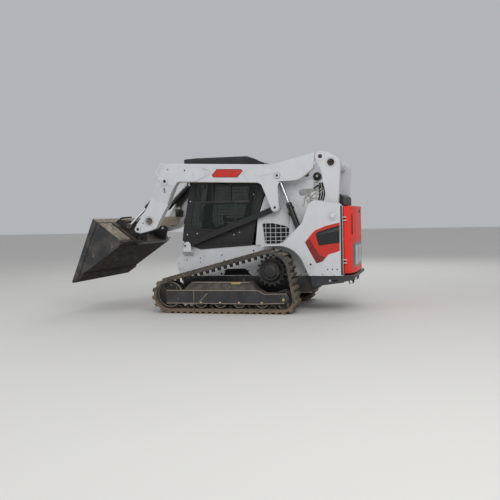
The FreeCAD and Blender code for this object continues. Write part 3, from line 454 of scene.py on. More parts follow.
def turned(place, way, profile, sides=28, hollow=False):
    """A lathe part from place along way, from (along, radius) pairs; a hollow one is a ring."""
    spin = Vector(way).to_track_quat("Z", "Y").to_matrix()
    circle = around((0, 0), 1, sides)
    skin([[Vector(place) + spin @ Vector((radius * c, radius * s, along)) for c, s in circle]
          for along, radius in profile], hollow)


def disc(place, y, profile, sides=28, hollow=False):
    """A turned part that points outwards from a side face."""
    turned(at(place, y), OUT, profile, sides, hollow)


def ring(place, y, profile, sides=28):
    """A ring on a side face. Its profile is a closed outline."""
    disc(place, y, profile, sides, True)


def bolt(place, y, size):
    """A washer and a hexagon head on a side face; size is the thread in mm."""
    head = size * 0.9
    disc(place, y, [(-1, size), (size * 0.18, size), (size * 0.22, head)], 20)
    disc(place, y, [(0, head), (size * 0.75, head), (size * 0.9, head * 0.84)], 6)


# %% Tubes
def tube(points, radius, closed=False, order=3, sides=2):
    """A round tube along a smooth line; of order 2 the line is straight from point to point."""
    curve = bpy.data.curves.new("line", "CURVE")
    curve.dimensions = "3D"
    curve.bevel_depth = radius
    curve.bevel_resolution = sides
    curve.use_fill_caps = True
    curve.resolution_u = 8
    spline = curve.splines.new("NURBS")
    spline.points.add(len(points) - 1)
    for knot, place in zip(spline.points, points):
        knot.co = (*place, 1.0)
    spline.use_cyclic_u = closed
    spline.order_u = min(order, len(points))
    spline.use_endpoint_u = not closed
    holder = bpy.data.objects.new("line", curve)
    mesh = bpy.data.meshes.new_from_object(holder)
    bench.from_mesh(mesh)
    bpy.data.objects.remove(holder)
    bpy.data.curves.remove(curve)
    bpy.data.meshes.remove(mesh)


# %% [markdown]
# ## Pins of the linkage
#
# Each pin ends in a boss with a round hole, and the pin's rusty end shows at the bottom of it with
# a grease fitting. A joint's place comes from the model, and the other pins are read off the same
# drawing of the linkage. The tower's upper pin is held by a large domed cap instead.

# %% Faces of the plates, and pins that are no joint's place
ARM_FACE, BEAM_FACE, LEG_FACE = 660.0, 652.0, 588.0         # distances from the centre plane
BEAM_INSIDE = 546
TOWER_FACE, FRAME_FACE, CAB_FACE = 720.0, 460.0, 470.0
LIFT_Y, TILT_Y = 602.5, 434.0                               # the cylinders' middle planes
LIFT_FOOT, LIFT_HEAD = (-1358, 628), (-924, 1790)           # (x, z)
TILT_FOOT, TILT_HEAD = (637, 1763), (1255.5, 1169.2)
LINK_FOOT, LINK_TUBE, FRONT_TUBE = (-1648, 1248), (-1628, 1938), (905, 1228)
KNEE_PIN = pin["arm_on_control_links"]

# %% Pin ends
def pin_end(place, y, radius):
    disc(place, y, [(-3, radius), (1.5, radius), (2.5, radius - 1.5), (1.2, radius * 0.6),
                    (1.2, radius * 0.3)])
    disc(place, y, [(0, 4), (6, 4), (7, 2.5), (10, 3.2), (12, 2)], 10)


for body, name, ends in (
        ("rear_links", "rear_link_pin_ends", [(pin["rear_link_on_arm"], ARM_FACE, 27.5)]),
        ("lift_arms", "arm_pin_ends", [
            (pin["tilt"], LEG_FACE, 21.5), (LIFT_HEAD, ARM_FACE + 8, 17),
            (KNEE_PIN, BEAM_FACE + 12, 17), (pin["tilt_cylinder_foot"], 632.5, 22)]),
        ("chassis", "tower_pin_ends", [
            (pin["lift_cylinder_foot"], TOWER_FACE, 14.5), (pin["lift"], 574.0, 15)])):
    for end in ends:
        pin_end(*end)
    piece(name, "rusty_pin_steel", body)

# %% Rings round the pins, painted shade round their bosses, and the domed cap
for place, y, inner, outer in ((LIFT_HEAD, ARM_FACE + 8, 18, 36),
                               (KNEE_PIN, BEAM_FACE + 12, 18, 40)):
    ring(place, y, [(-1, inner), (5, inner), (6, inner + 1), (6, outer - 2), (4, outer),
                    (-1, outer)])
for place, y, r in ((FRONT_TUBE, LEG_FACE, 53.5), (TILT_FOOT, ARM_FACE + 8, 23.5)):
    ring(place, y, [(-1, r), (2.5, r), (3.5, r + 1.5), (3.5, r + 8), (-1, r + 10)], 40)
piece("arm_pin_rings", "sprayed_white_arms", "lift_arms")
# The brown rings round the bosses are painted shade: the shadow that falls round a raised boss.
for name, body, bosses in (
        ("boss_grime", "lift_arms", [(LIFT_HEAD, ARM_FACE, 40), (KNEE_PIN, BEAM_FACE, 44),
                                     (FRONT_TUBE, LEG_FACE, 64), (TILT_FOOT, ARM_FACE, 36)]),
        ("link_boss_grime", "rear_links", [(pin["rear_link_on_arm"], ARM_FACE, 44),
                                           (LINK_TUBE, ARM_FACE, 58)])):
    for place, y, r in bosses:
        ring(place, y, [(-1, r), (0.7, r), (0.7, r + 4), (-1, r + 5)], 40)
    piece(name, "dusty_edge", body)
disc(LINK_FOOT, TOWER_FACE + 21, [(-12, 38), (-8, 40), (-2, 38), (4, 31), (7, 20), (8, 8)], 8)
ring(LINK_FOOT, TOWER_FACE + 9, [(-1, 40), (5, 42), (6, 50), (4, 55), (-1, 56)], 36)
piece("tower_pin_caps", "sprayed_white_enamel")

# %% [markdown]
# ## Edges and seams of the lift arms
#
# The arms are boxes of plate. A doubler plate ends in a rounded tongue, welded all round, and the
# lower flange stands a little proud of the side, with dust on it. A bead is drawn as a thin tube
# along the seam, half sunk in the plate, because a real bead is a row of ripples too small to show.

# %% Weld beads and the flange's lip
for line in ([(560, 1944), (190, 1941), (60, 1916), (-10, 1885), (-8, 1847), (60, 1810),
              (173, 1765), (300, 1748)],
             [(-900, 1925), (-700, 1935), (-560, 1895), (-462, 1852), (-470, 1815), (-520, 1775),
              (-700, 1690)]):
    tube([at(p, BEAM_FACE + 7) for p in line], 3.2)
tube([(622, LEG_FACE, 1455), (850, LEG_FACE, 1556)], 3.0)
piece("arm_weld_beads", "sprayed_white_arms", "lift_arms")
KNEE_X = 520                    # in front of it the leg leans inwards
lip = [(-688, 1707), (-100, 1727), (440, 1752), (500, 1690), (560, 1590), (612, 1452)]
tube([(x, BEAM_FACE - 3 - max(0, (x - KNEE_X) * 0.4), z) for x, z in lip], 5)
lip = [(-940, 1714), (-1100, 1713), (-1215, 1727), (-1300, 1775), (-1398, 1868)]
tube([at(p, ARM_FACE - 2) for p in lip], 5)
piece("arm_flange_lips", "dusty_edge", "lift_arms")

# %% The raised pocket at the rear end of the beam
plate([(-596, 1828, 20), (-764, 1886, 30), (-838, 1876, 26), (-846, 1800, 24), (-640, 1780, 16)],
      ARM_FACE - 1, ARM_FACE + 2.5, 1.2)
plate([(-640, 1822, 14), (-766, 1868, 20), (-822, 1860, 16), (-828, 1812, 14), (-660, 1796, 8)],
      ARM_FACE + 1, ARM_FACE + 4.5, 1.6)
piece("arm_pockets", "sprayed_white_arms", "lift_arms")

# %% [markdown]
# ## Holes in the plates
#
# Bolts and jig holes are left in the plates all over such a machine. Each is a dark spot of painted
# shade with a soft rim, so each is a thin turned disc with a rounded edge.

# %% Dark holes, drawn as spots of painted shade
def spots(name, places, y, radius, body="chassis", look="void_black"):
    """Spots at (x, z), where a third value is the spot's own radius."""
    for place in places:
        r = place[2] if len(place) > 2 else radius
        disc(place[:2], y, [(-1, r), (0.4, r), (0.8, r - 1)], 18)
    piece(name, look, body)


spots("arm_holes", [(586, 1922, 9), (346, 1902, 11)], ARM_FACE, 10, "lift_arms")
spots("arm_rust_spots", [(224, 1836, 5), (236, 1868, 4), (218, 1812, 3)], ARM_FACE, 4, "lift_arms",
      "rusty_pin_steel")
spots("leg_grease_holes", [(995, 1203)], LEG_FACE, 10, "lift_arms", "rusty_pin_steel")
spots("frame_holes", [
    (444, 680, 6), (409, 680, 8), (216, 707), (157, 732, 5), (218, 649), (-93, 746, 10),
    (-122, 671), (-541, 802, 11), (-81, 492, 15), (305, 520, 9)], FRAME_FACE, 8)
spots("tower_holes", [(-1575, 562), (-1637, 562), (-1700, 562), (-1295, 536, 11)], TOWER_FACE, 9)

# %% [markdown]
# ## Printed film
#
# The arm carries a red badge with a dark border, and the tower a red and black panel with a darker
# red facet. They are cut vinyl, so each is a thin sheet with rounded corners laid on the plate,
# without any lettering. Layers lie 0.4 mm apart, so that they never share a plane.

# %% The arm's badge and the tower's panel
def film(name, y, look, outline, body="chassis", thick=0.4):
    plate(outline, y - 0.5, y + thick)
    piece(name, look, body)


film("arm_badge_border", BEAM_FACE, "dark_red_print", [
    (-30, 1825, 6), (-101, 1904, 8), (-439, 1892, 8), (-464, 1866, 6), (-384, 1783, 8),
    (-57, 1794, 8)], "lift_arms", 0.8)
film("arm_badge", BEAM_FACE + 0.8, "red_print", [
    (-48, 1826, 4), (-107, 1893, 6), (-433, 1881, 6), (-450, 1865, 4), (-380, 1793, 6),
    (-64, 1804, 6)], "lift_arms")
film("tower_panel", TOWER_FACE, "red_print", [
    (-1740, 1163, 3), (-1560, 1122, 20), (-1420, 1067, 20), (-1385, 1035, 20), (-1288, 916, 6),
    (-1340, 812, 12), (-1433, 640, 6), (-1511, 664, 16), (-1595, 757, 20), (-1669, 777, 20),
    (-1736, 801, 3)], thick=0.8)
film("tower_panel_facet", TOWER_FACE + 0.8, "dark_red_print", [
    (-1288, 916, 5), (-1340, 812, 12), (-1433, 640, 6), (-1511, 664, 12), (-1560, 720, 12),
    (-1480, 742, 30), (-1398, 872, 20), (-1350, 965, 6)])
film("tower_panel_window", TOWER_FACE + 1.2, "black_print", [
    (-1738, 1106, 3), (-1451, 1025, 20), (-1434, 984, 20), (-1466, 869, 10), (-1738, 903, 3)])
# The sheen is a painted reflection: a lighter grey band along the top of the black window.
film("tower_panel_sheen", TOWER_FACE + 1.6, "grey_print", [
    (-1736, 1100, 3), (-1456, 1021, 12), (-1446, 1002, 10), (-1736, 1062, 3)])
film("tower_panel_shade", TOWER_FACE + 0.8, "black_print", [
    (-1738, 1128, 3), (-1452, 1046, 10), (-1424, 1010, 8), (-1432, 990, 6), (-1452, 1024, 10),
    (-1738, 1106, 3)], thick=0.3)

# %% [markdown]
# ## Hydraulic cylinders
#
# A cylinder is a drawn tube with a screwed gland where the chromed rod comes out, and a steel pipe
# that carries oil along the tube to the gland end, held by clamps. The gland rides on the barrel.
# All of it is measured along the line from the foot pin to the head pin.

# %% Glands, ports, pipes and clamps
def line_of(foot, head, y):
    """Where a straight line starts, where it aims, and the way to its side."""
    start = at(foot, y)
    aim = (at(head, y) - start).normalized()
    return start, aim, Vector((-aim.z, 0, aim.x))


def dress_cylinder(name, foot, head, y, radius, rod, end, port, inward, body):
    """Gland, wiper, ports and a clamped pipe. The barrel ends and has its second port at these."""
    start, aim, side = line_of(foot, head, y)
    side = (side * (1 - inward) - OUT * inward).normalized()

    def spot(along, off):
        return start + aim * along + side * off

    turned(start + aim * (end - 46), aim, [
        (0, radius + 0.4), (0, radius + 1), (2, radius + 2), (42, radius + 2), (44, radius + 1),
        (44, radius + 0.4)], hollow=True)
    turned(start + aim * (end - 1), aim, [
        (0, rod + 1), (0, radius - 1), (9, radius - 2), (15, rod + 6), (15, rod + 1)], hollow=True)
    for c, s in around((0, 0), 1, 6):
        way = side * c + OUT * s
        turned(start + aim * (end - 24) + way * (radius + 1), way, [
            (0, 2), (0, 5), (1.5, 5), (1.5, 2)], 10, hollow=True)
    ports, clamps = (90, port), (180, port - 100)
    for along in ports:
        turned(spot(along, radius - 3), side, [(0, 17), (12, 17), (14, 15)], 20)
    for along in clamps:
        turned(start + aim * (along - 9), aim, [
            (0, radius + 0.3), (0, radius + 2.4), (18, radius + 2.4), (18, radius + 0.3)],
            hollow=True)
    piece(name + "_glands", "gloss_black_enamel", body)
    away = radius + 22
    tube([spot(*p) for p in (
        (90, radius + 8), (92, away), (130, away + 1), (port * 0.5, away - 4),
        (port - 40, away + 1), (port - 2, away), (port, radius + 8))], 6.5)
    for along in ports:
        turned(spot(along, radius + 8), side, [(0, 13), (10, 13), (11, 10)], 6)
    for along in clamps:
        turned(spot(along - 8, away - 2), aim, [(0, 10), (16, 10)], 14)
        turned(spot(along, away + 5), side, [(0, 6), (5, 6), (6, 4)], 6)
    piece(name + "_pipes", "zinc_plate", body)


dress_cylinder("lift_cylinder", LIFT_FOOT, LIFT_HEAD, LIFT_Y, 38, 22, 850, 780, 0, "lift_barrels")
dress_cylinder("tilt_cylinder", TILT_FOOT, TILT_HEAD, TILT_Y, 33, 18, 500, 330, 0.65,
               "tilt_barrels")
start, aim, side = line_of(LIFT_FOOT, LIFT_HEAD, LIFT_Y)
turned(start + aim * 715 - side * 34, -side, [(0, 30), (10, 28), (18, 20), (21, 8)], 24)
piece("lift_cylinder_valves", "gloss_black_enamel", "lift_barrels")

# %% Snap rings on the rods' eyes
for name, place, y, radius, half, body in (
        ("tilt_rod_bushes", TILT_HEAD, TILT_Y, 34, 30, "tilt_rods"),
        ("lift_rod_bushes", LIFT_HEAD, LIFT_Y, 38, 35, "lift_rods")):
    for side in (-1, 1):
        face = at(place, y + side * half)
        turned(face, OUT * side, [(-1, radius - 14), (2, radius - 14), (2, radius - 6),
                                  (-1, radius - 5)], hollow=True)
        turned(face, OUT * side, [(-1, 5), (1.5, 5), (1.5, radius - 16), (-1, radius - 16)],
               hollow=True)
    piece(name, "rusty_pin_steel", body)

# %% [markdown]
# ## Hoses and pipes
#
# On the left three plated pipes come up from the engine bay, each with a pair of fittings, and bend
# back down as black hoses. Three more hoses rise behind them. Both ends of each are clamped to the
# frame, so they are fixed shapes and not free cords. The hoses that go on to the arms are left out
# between the two, so nothing stretches when the arms rise. On the arm they come from a round
# bulkhead and run along the inner side of the beam, under clamps.

# %% Pipes, fittings and hoses in the engine bay
def fitting(place, aim, size):
    """A hexagon nut and a collar round a pipe."""
    turned(place, aim, [(-14, size), (6, size), (8, size * 0.86)], 6)
    turned(place, aim, [(6, size * 0.78), (22, size * 0.78), (24, size * 0.6)], 16)


PIPE_Y, HOSE_Y, HOSE_RADIUS = 528, 510, 11
PIPES = [(*line_of(low, high, PIPE_Y)[:2], (Vector(high) - Vector(low)).length) for low, high in (
    ((-1255, 1494), (-1384, 1608)), ((-1329, 1494), (-1500, 1620)), ((-1409, 1513), (-1515, 1591)))]
for start, aim, length in PIPES:
    tube([start + Vector((12, 0, -110)), start + Vector((6, 0, -50)), start - aim * 6,
          start + aim * 30, start + aim * length], 9)
    for share in (0.45, 0.92):
        fitting(start + aim * (length * share), aim, 12)
piece("bay_pipes", "zinc_plate", both=False)
for start, aim, length in PIPES:
    top = start + aim * length
    tube([top, top + aim * 60, top + aim * 96 + Vector((2, 0, -20)),
          top + aim * 110 + Vector((4, 0, -70)), top + aim * 110 + Vector((8, 0, -200))],
         HOSE_RADIUS)
for x in (-1470, -1500, -1528):
    tube([(x + 50, HOSE_Y, 1380), (x + 26, HOSE_Y, 1450), (x + 4, HOSE_Y, 1540),
          (x, HOSE_Y, 1620), (x + 8, HOSE_Y, 1690)], HOSE_RADIUS)
piece("bay_hoses", "hose_rubber", both=False)

# %% The bulkhead and the hoses on the arm's inner side
BULKHEAD = (-1271, 1829)
turned(at(BULKHEAD, BEAM_INSIDE - 1), IN, [
    (-1, 62), (6, 62), (10, 58), (12, 40), (22, 38), (25, 34)], 32)
for place in around(BULKHEAD, 49, 6, 0.3):
    turned(at(place, BEAM_INSIDE - 9), IN, [(0, 6), (6, 6), (7, 4)], 6)
for z in (1880, 1846):
    tube([(-1140, BEAM_INSIDE, z), (-1130, 530, z), (-1000, 530, z), (-700, 530, z + 5),
          (-300, 530, z - 5), (200, 530, z), (520, 530, z), (580, 520, z - 20),
          (640, 500, z - 100)], HOSE_RADIUS)
piece("arm_bulkheads", "hose_rubber", "lift_arms")
turned(at(BULKHEAD, BEAM_INSIDE - 25), IN, [(0, 18), (6, 18), (8, 14), (12, 12)], 20)
for x, z in ((-950, 1863), (-500, 1862), (-60, 1860), (380, 1863)):
    block((x - 12, BEAM_INSIDE - 28, z - 34), (x + 12, BEAM_INSIDE, z + 34), 4)
piece("arm_hose_clamps", "zinc_plate", "lift_arms")

# %% [markdown]
# ## The plate above the side panel
#
# Between cab and tower a thin bolted plate closes the engine bay above each side panel, with a slot
# cut in from behind.

# %% The slotted plate
UPPER_PLATE = (478, 484)        # its inner and outer face
plate([(-905, 1465, 10), (-905, 1735, 20), (-1372, 1735, 30), (-1372, 1611, 10), (-1219, 1611, 28),
       (-1178, 1590, 20), (-1178, 1546, 20), (-1200, 1524, 20), (-1300, 1520, 20),
       (-1333, 1454, 30), (-1268, 1365, 40), (-1120, 1365, 20)], *UPPER_PLATE, 1.5)
for place in ((-1161, 1680), (-960, 1500), (-1290, 1470)):
    bolt(place, UPPER_PLATE[1], 10)
piece("upper_side_plates", "sprayed_white_enamel")

# %% [markdown]
# ## Auxiliary couplings behind the leg
#
# Behind the lower leg a black block carries two quick couplings with rubber caps, fed by hoses from
# inside the beam. They move with the arm.

# %% Coupling block, caps and hoses
block((800, 436, 1286), (890, 476, 1400), 8)
piece("coupling_blocks", "black_tool_enamel", "lift_arms")
for z in (1312, 1366):
    turned((806, 454, z), (-1, 0, -0.25), [
        (0, 17), (8, 17), (9, 21), (30, 21), (34, 18), (36, 8)], 24)
turned((846, 438, 1340), IN, [(0, 30), (10, 30), (12, 34), (20, 34), (24, 26), (26, 10)])
INLETS = [816 + k * 22 for k in range(4)]
for k, x in enumerate(INLETS):
    lean = k * 26
    tube([(x, 456, 1400), (812 + k * 22, 456, 1440), (770 + lean, 455, 1500),
          (700 + lean, 456, 1590), (660 + lean, 470, 1660), (640 + lean, 520, 1740),
          (620 + lean, 538, 1800)], 10)
tube([(850, 455, 1290), (850, 452, 1250), (880, 440, 1180), (930, 425, 1150), (985, 420, 1170),
      (990, 440, 1215)], 10)
piece("coupling_caps_and_hoses", "hose_rubber", "lift_arms")
for x in INLETS:
    fitting(Vector((x, 456, 1414)), Vector((0, 0, 1)), 13)
fitting(Vector((850, 455, 1272)), Vector((0, 0, -1)), 13)
piece("coupling_fittings", "zinc_plate", "lift_arms")

# %% Inside the cross tubes
for name, place, y, radius, body in (
        ("front_tube_bulkheads", (906, 1225), 510, 52.4, "lift_arms"),
        ("rear_tube_bulkheads", LINK_TUBE, 500, 47.4, "rear_links")):
    disc(place, y, [(-4, radius), (0, radius), (1, radius - 3), (0, radius * 0.5),
                    (2, radius * 0.2)], 32)
    piece(name, "dusty_edge", body)

# %% [markdown]
# ## The cab's windows
#
# Each side window sits in a black rubber seal, in two halves that slide past each other, with a
# middle rail. Behind the glass is a welded wire screen: the wires are 43 mm apart and 4 mm thick.
# The screen is cut to the window's outline, wire by wire.

# %% Seals, rails and the wire screen
WINDOW = [(344, 1126, 60), (222, 1850, 40), (-625, 1850, 40), (-607, 1699), (-499, 1235, 60),
          (-267, 1075, 80)]
PANE = [(356, 1112, 66), (230, 1862, 46), (-637, 1862, 46), (-619, 1699), (-508, 1228, 66),
        (-267, 1062, 84)]
tube([at(p, CAB_FACE + 4) for p in rounded(PANE, 8)], 8, closed=True, order=2)
block((-498, CAB_FACE + 4, 1452), (296, CAB_FACE + 16, 1480), 3)
block((2, CAB_FACE + 4, 1466), (26, CAB_FACE + 14, 1858), 3)
block((-312, CAB_FACE + 4, 1084), (-292, CAB_FACE + 12, 1466), 3)
piece("window_seals", "extruded_rubber")


def crossings(outline, axis, value):
    """Where a straight wire enters and leaves an outline."""
    found = []
    for a, b in zip(outline, outline[1:] + outline[:1]):
        if (a[axis] - value) * (b[axis] - value) < 0:
            t = (value - a[axis]) / (b[axis] - a[axis])
            found.append(a[1 - axis] + t * (b[1 - axis] - a[1 - axis]))
    return min(found), max(found)


WIRE_PITCH, WIRE_RADIUS, WIRE_Y = 43.0, 1.8, 449
for k in range(1, 23):
    x = -640 + k * WIRE_PITCH
    tube([(x, WIRE_Y, z) for z in crossings(WINDOW, 0, x)], WIRE_RADIUS, sides=1)
for k in range(1, 19):
    z = 1070 + k * WIRE_PITCH
    tube([(x, WIRE_Y - 3.5, z) for x in crossings(WINDOW, 1, z)], WIRE_RADIUS, sides=1)
piece("window_screens", "void_black")

# %% [markdown]
# ## The cab's shell
#
# The side is one pressed frame. It has bolt heads at the corners, a ribbed rubber panel under the
# window and a rain gutter along the roof. The front door has a seal, a wiper, a grab handle and
# hinges, and two lamps stand over it.

# %% Bolts, ribbed panel and gutter
for place in ((336, 1487), (414, 1328), (392, 1032), (248, 1045), (-36, 1016), (-273, 1020),
              (-353, 1051), (-560, 1560), (-650, 1880), (250, 1905), (-200, 1905)):
    disc(place, CAB_FACE, [(-1, 9), (1.5, 9), (2, 6.5), (5, 6), (6, 3.5)], 14)
piece("cab_bolts", "zinc_plate")
PANEL = [(230, 872, 12), (-492, 902, 20), (-545, 1120, 20), (-512, 1158, 20), (-288, 1008, 60),
         (190, 1012, 20)]
plate(PANEL, CAB_FACE - 1, CAB_FACE + 3, 1.5)
for k in range(31):
    x = 205 - k * 24
    low, high = crossings(PANEL, 0, x)
    if high - low > 40:
        block((x - 4, CAB_FACE + 2, low + 12), (x + 4, CAB_FACE + 6, high - 14), 1.5)
piece("ribbed_side_panels", "moulded_polypropylene")
tube([at(p, CAB_FACE + 3) for p in ((284, 1956), (-300, 1958), (-688, 1956))], 6, order=2)
tube([at(p, CAB_FACE + 1) for p in ((447, 1075), (366, 1520), (286, 1955))], 4, order=2)
piece("cab_gutters", "charcoal_powder_coat")


# %% The front door: seal, handle, wiper and hinges
def on_door(y, z, off=0.0):
    """A point on the front door's pane, off mm in front of it; the pane leans back."""
    return Vector((446.8 - (z - 1112) * 0.1848 + off, y, z))


DOOR_UP = (-0.182, 0, 0.983)
seal = rounded([(-378, 1102, 66), (378, 1102, 66), (378, 1872, 66), (-378, 1872, 66)], 6)
tube([on_door(p.x, p.y, 1) for p in seal], 8, closed=True, order=2)
tube([on_door(20, 1856, 12), on_door(0, 1700, 12), on_door(-160, 1420, 8)], 5, order=2)
tube([on_door(-60, 1640, 6), on_door(-250, 1210, 6)], 6)
turned(on_door(20, 1860, -4), (1, 0, 0.18), [(0, 22), (18, 22), (22, 16)], 20)
piece("front_door_seal_and_wiper", "extruded_rubber", both=False)
tube([on_door(-396, z, off) for z, off in ((1180, 2), (1180, 34), (1420, 34), (1420, 2))], 9)
for z in (1220, 1760):
    turned(on_door(424, z - 40, 14), DOOR_UP, [(0, 12), (80, 12)], 16)
    turned(on_door(424, z - 4, 14), DOOR_UP, [(0, 13), (6, 13)], 16)
piece("front_door_handle_and_hinges", "charcoal_powder_coat", both=False)

# %% Lamp lenses and bezels
for side in (-1, 1):
    for y in (324, 360, 396):
        for z in (1910, 1940):
            turned((345, side * y, z), (1, 0, 0), [(-2, 13), (1, 13), (3, 9), (4, 3)], 16)
piece("lamp_lenses", "clear_polycarbonate", both=False)
for side in (-1, 1):
    bezel = rounded([(side * 302, 1893, 10), (side * 418, 1893, 10), (side * 418, 1957, 10),
                     (side * 302, 1957, 10)])
    tube([(343, p.x, p.y) for p in bezel], 4, closed=True, order=2)
piece("lamp_bezels", "moulded_polypropylene", both=False)

# %% Roof: the raised panel and a seam along each side
plate([(230, -330, 40), (230, 330, 40), (-420, 330, 40), (-420, -330, 40)], 2080, 2087, 2, "Z")
for y in (-380, 380):
    tube([at(p, y) for p in ((425, 2058), (250, 2074), (-440, 2077), (-570, 2034), (-690, 1975))],
         6)
piece("roof_panel", "roof_powder_coat", both=False)

# %% [markdown]
# ## Inside the cab
#
# What shows through the tinted glass is the seat with its belt, the two control boxes with boots
# and knobs, a display on the front pillar, and foot pedals.

# %% Boots, knobs, screen and pedals
for side in (-1, 1):
    y = side * 340
    for k in range(5):
        turned((62 + k * 1.6, y, 1118 + k * 13), (0.15, 0, 1), [
            (0, 14), (0, 40 - k * 4), (7, 45 - k * 4.4), (12, 38 - k * 4), (12, 14)], 24, True)
    turned((84, y, 1205), (0.1, 0, 1), [(0, 17), (20, 25), (50, 28), (72, 24), (84, 12)], 20)
    block((-300, y - 45, 1118), (-40, y + 45, 1150), 12)
    block((330, side * 120 - 70, 470), (440, side * 120 + 70, 486), 5)
block((330, -420, 1420), (360, -300, 1560), 6)
piece("cab_controls", "moulded_polypropylene", both=False)
block((327, -412, 1430), (331, -308, 1550), 2)
piece("cab_screen", "grey_print", both=False)

# %% [markdown]
# ## The seat
#
# The seat is foam under sewn vinyl: crowned, pulled in at its seams, and firm. The CAD solids are
# only the space it fills, so both cushions are built here as closed meshes, blown up a little with
# cloth simulation, and given two lines of piping afterwards.

# %% A cushion, from a side outline and a width
PUFF = 12                       # the most that a point may move, in mm


def applied(item):
    """The item's mesh with its modifiers in it, which leave the item."""
    graph = bpy.context.evaluated_depsgraph_get()
    mesh = bpy.data.meshes.new_from_object(item.evaluated_get(graph))
    item.modifiers.clear()
    return mesh


def cushion(name, node, width, outline):
    plate(outline, -width, width, 22, steps=4)
    item = placed(name, taken(name))
    remesh = item.modifiers.new("even", "REMESH")
    remesh.mode = "VOXEL"
    remesh.voxel_size = 14 * MM
    bpy.context.view_layer.update()
    item.data = applied(item)
    start = [vert.co.copy() for vert in item.data.vertices]
    cloth = item.modifiers.new("blown", "CLOTH").settings
    cloth.use_pressure = True
    cloth.uniform_pressure_force = 4.0
    cloth.effector_weights.gravity = 0.0
    cloth.quality = 4
    for step in range(1, 21):
        scene.frame_set(step)
    blown = applied(item)
    for vert, before in zip(blown.vertices, start):
        move = vert.co - before
        vert.co = before + move * min(1.0, PUFF * MM / max(move.length, 1e-9))
    item.data = blown
    scene.frame_set(1)
    smooth = item.modifiers.new("soft", "SUBSURF")
    smooth.levels = smooth.render_levels = 1
    item.data.shade_smooth()
    item.data.materials.clear()
    item.data.materials.append(finish["pebbled_vinyl"])
    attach(item, "chassis")
    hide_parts(node)
    print(name, "faces:", len(item.data.polygons))
    return item


seat = cushion("seat_cushion_padded", "seat_cushion", 228, [
    (-390, 968, 20), (30, 968, 20), (46, 1000, 24), (14, 1068, 44), (-180, 1052),
    (-390, 1050, 24)])
back = cushion("seat_back_padded", "seat_back", 218, [
    (-392, 1096, 24), (-310, 1096, 40), (-352, 1300), (-412, 1480, 150), (-430, 1706, 36),
    (-490, 1706, 30), (-528, 1640), (-476, 1110)])

# %% Piping, armrests and belt
bpy.context.view_layer.update()


def touched(item, start, way):
    """Where a line from start first meets the cushion, in mm."""
    return item.ray_cast(Vector(start) * MM, Vector(way))[1] / MM


for y in (-140, 140):
    tube([touched(seat, (x, y, 1300), (0, 0, -1)) for x in range(-370, 20, 30)], 4.5)
    tube([touched(back, (100, y, z), (-1, 0, 0)) for z in range(1130, 1680, 45)], 4.5)
for y in (-262, 262):
    block((-330, y - 22, 1205), (-90, y + 22, 1250), 12)
    tube([(-380, y, 1150), (-350, y, 1200), (-320, y, 1225)], 12)
piece("seat_piping_and_armrests", "pebbled_vinyl", both=False)
for y in (-246, 246):
    block((-330, y - 4, 1000), (-290, y + 4, 1100), 2)
block((-335, 200, 1086), (-285, 250, 1104), 5)
piece("seat_belt", "extruded_rubber", both=False)

# %% [markdown]
# ## The engine's covers
#
# The side intake is a barred opening with a black sheet of painted shade behind it. The rear lid is
# a louvred grille. The tailgate is a moulded red cover with three creases across it, two tall vents
# with painted shade in them, a bare plate and a latch, and it closes on a rubber gasket.

# %% Painted shade behind the intake, and the lid's slats and latch
# A black sheet behind the intake's bars: painted shade where the opening's dark inside shows.
plate([(-694, 886, 20), (-664, 1186, 20), (-820, 1180, 20), (-1000, 1140, 30), (-1095, 1085, 40),
       (-965, 910, 40)], 452, 465)
piece("intake_backs", "void_black")
rim = rounded([(-702, 889, 22), (-670, 1178, 22), (-816, 1172, 22), (-994, 1132, 32),
               (-1092, 1081, 42), (-961, 917, 42), (-900, 889, 22)])
tube([at(p, 477) for p in rim], 4, closed=True, order=2)
piece("intake_rims", "sprayed_white_enamel")
for side in (-1, 1):
    for k in range(9):
        x, z = -1250 - k * 42, 1420 + k * 3.2
        tube([(x, side * 24, z), (x, side * 426, z)], 3)
block((-1748, -60, 1470), (-1728, 60, 1500), 5)
piece("lid_slat_edges", "roof_powder_coat", "rear_grille", both=False)

# %% The tailgate's skin
DOOR_BACK, CROWN_Y = -1912.0, 350       # the flat middle of the rear skin, and where it ends
VENTS = (-535, 535)


def crown_line(y):
    """x of the tailgate's rear skin at y."""
    return DOOR_BACK + max(0.0, abs(y) - CROWN_Y) * 52 / 262


def crown_strip(y0, y1, z0, z1, proud, edge=1.0):
    """A strip that lies on the crown between two values of y."""
    stops = sorted({y0, y1, *[y for y in (-CROWN_Y, CROWN_Y) if y0 < y < y1]})
    outer = [(crown_line(y) - proud, y) for y in stops]
    inner = [(crown_line(y) + 3, y) for y in reversed(stops)]
    plate(outer + inner, z0, z1, edge, "Z")


crown_strip(-596, 596, 942, 958, 4, 1.5)
crown_strip(-590, 590, 1338, 1368, 4, 2)
crown_strip(-590, 590, 508, 530, 4, 2)
for y in VENTS:
    crown_strip(y - 38, y - 27, 998, 1282, 3)
    crown_strip(y + 27, y + 38, 998, 1282, 3)
piece("tailgate_ridges", "red_powder_coat", "tailgate", both=False)
for y in VENTS:
    x = crown_line(y)
    block((x + 14, y - 27, 1004), (x + 20, y + 27, 1276), 1)
    for z in range(1014, 1274, 20):
        block((x + 3, y - 21, z), (x + 18, y + 21, z + 4), 1)
block((DOOR_BACK - 6, -140, 1285), (DOOR_BACK + 2, -60, 1322), 4)
piece("tailgate_vents_and_latch", "moulded_polypropylene", "tailgate", both=False)
# A black patch under each vent's slats: painted shade for the dark opening behind them.
for y in VENTS:
    crown_strip(y - 23, y + 23, 1006, 1274, 1.5, 0.8)
piece("tailgate_vent_meshes", "void_black", "tailgate", both=False)

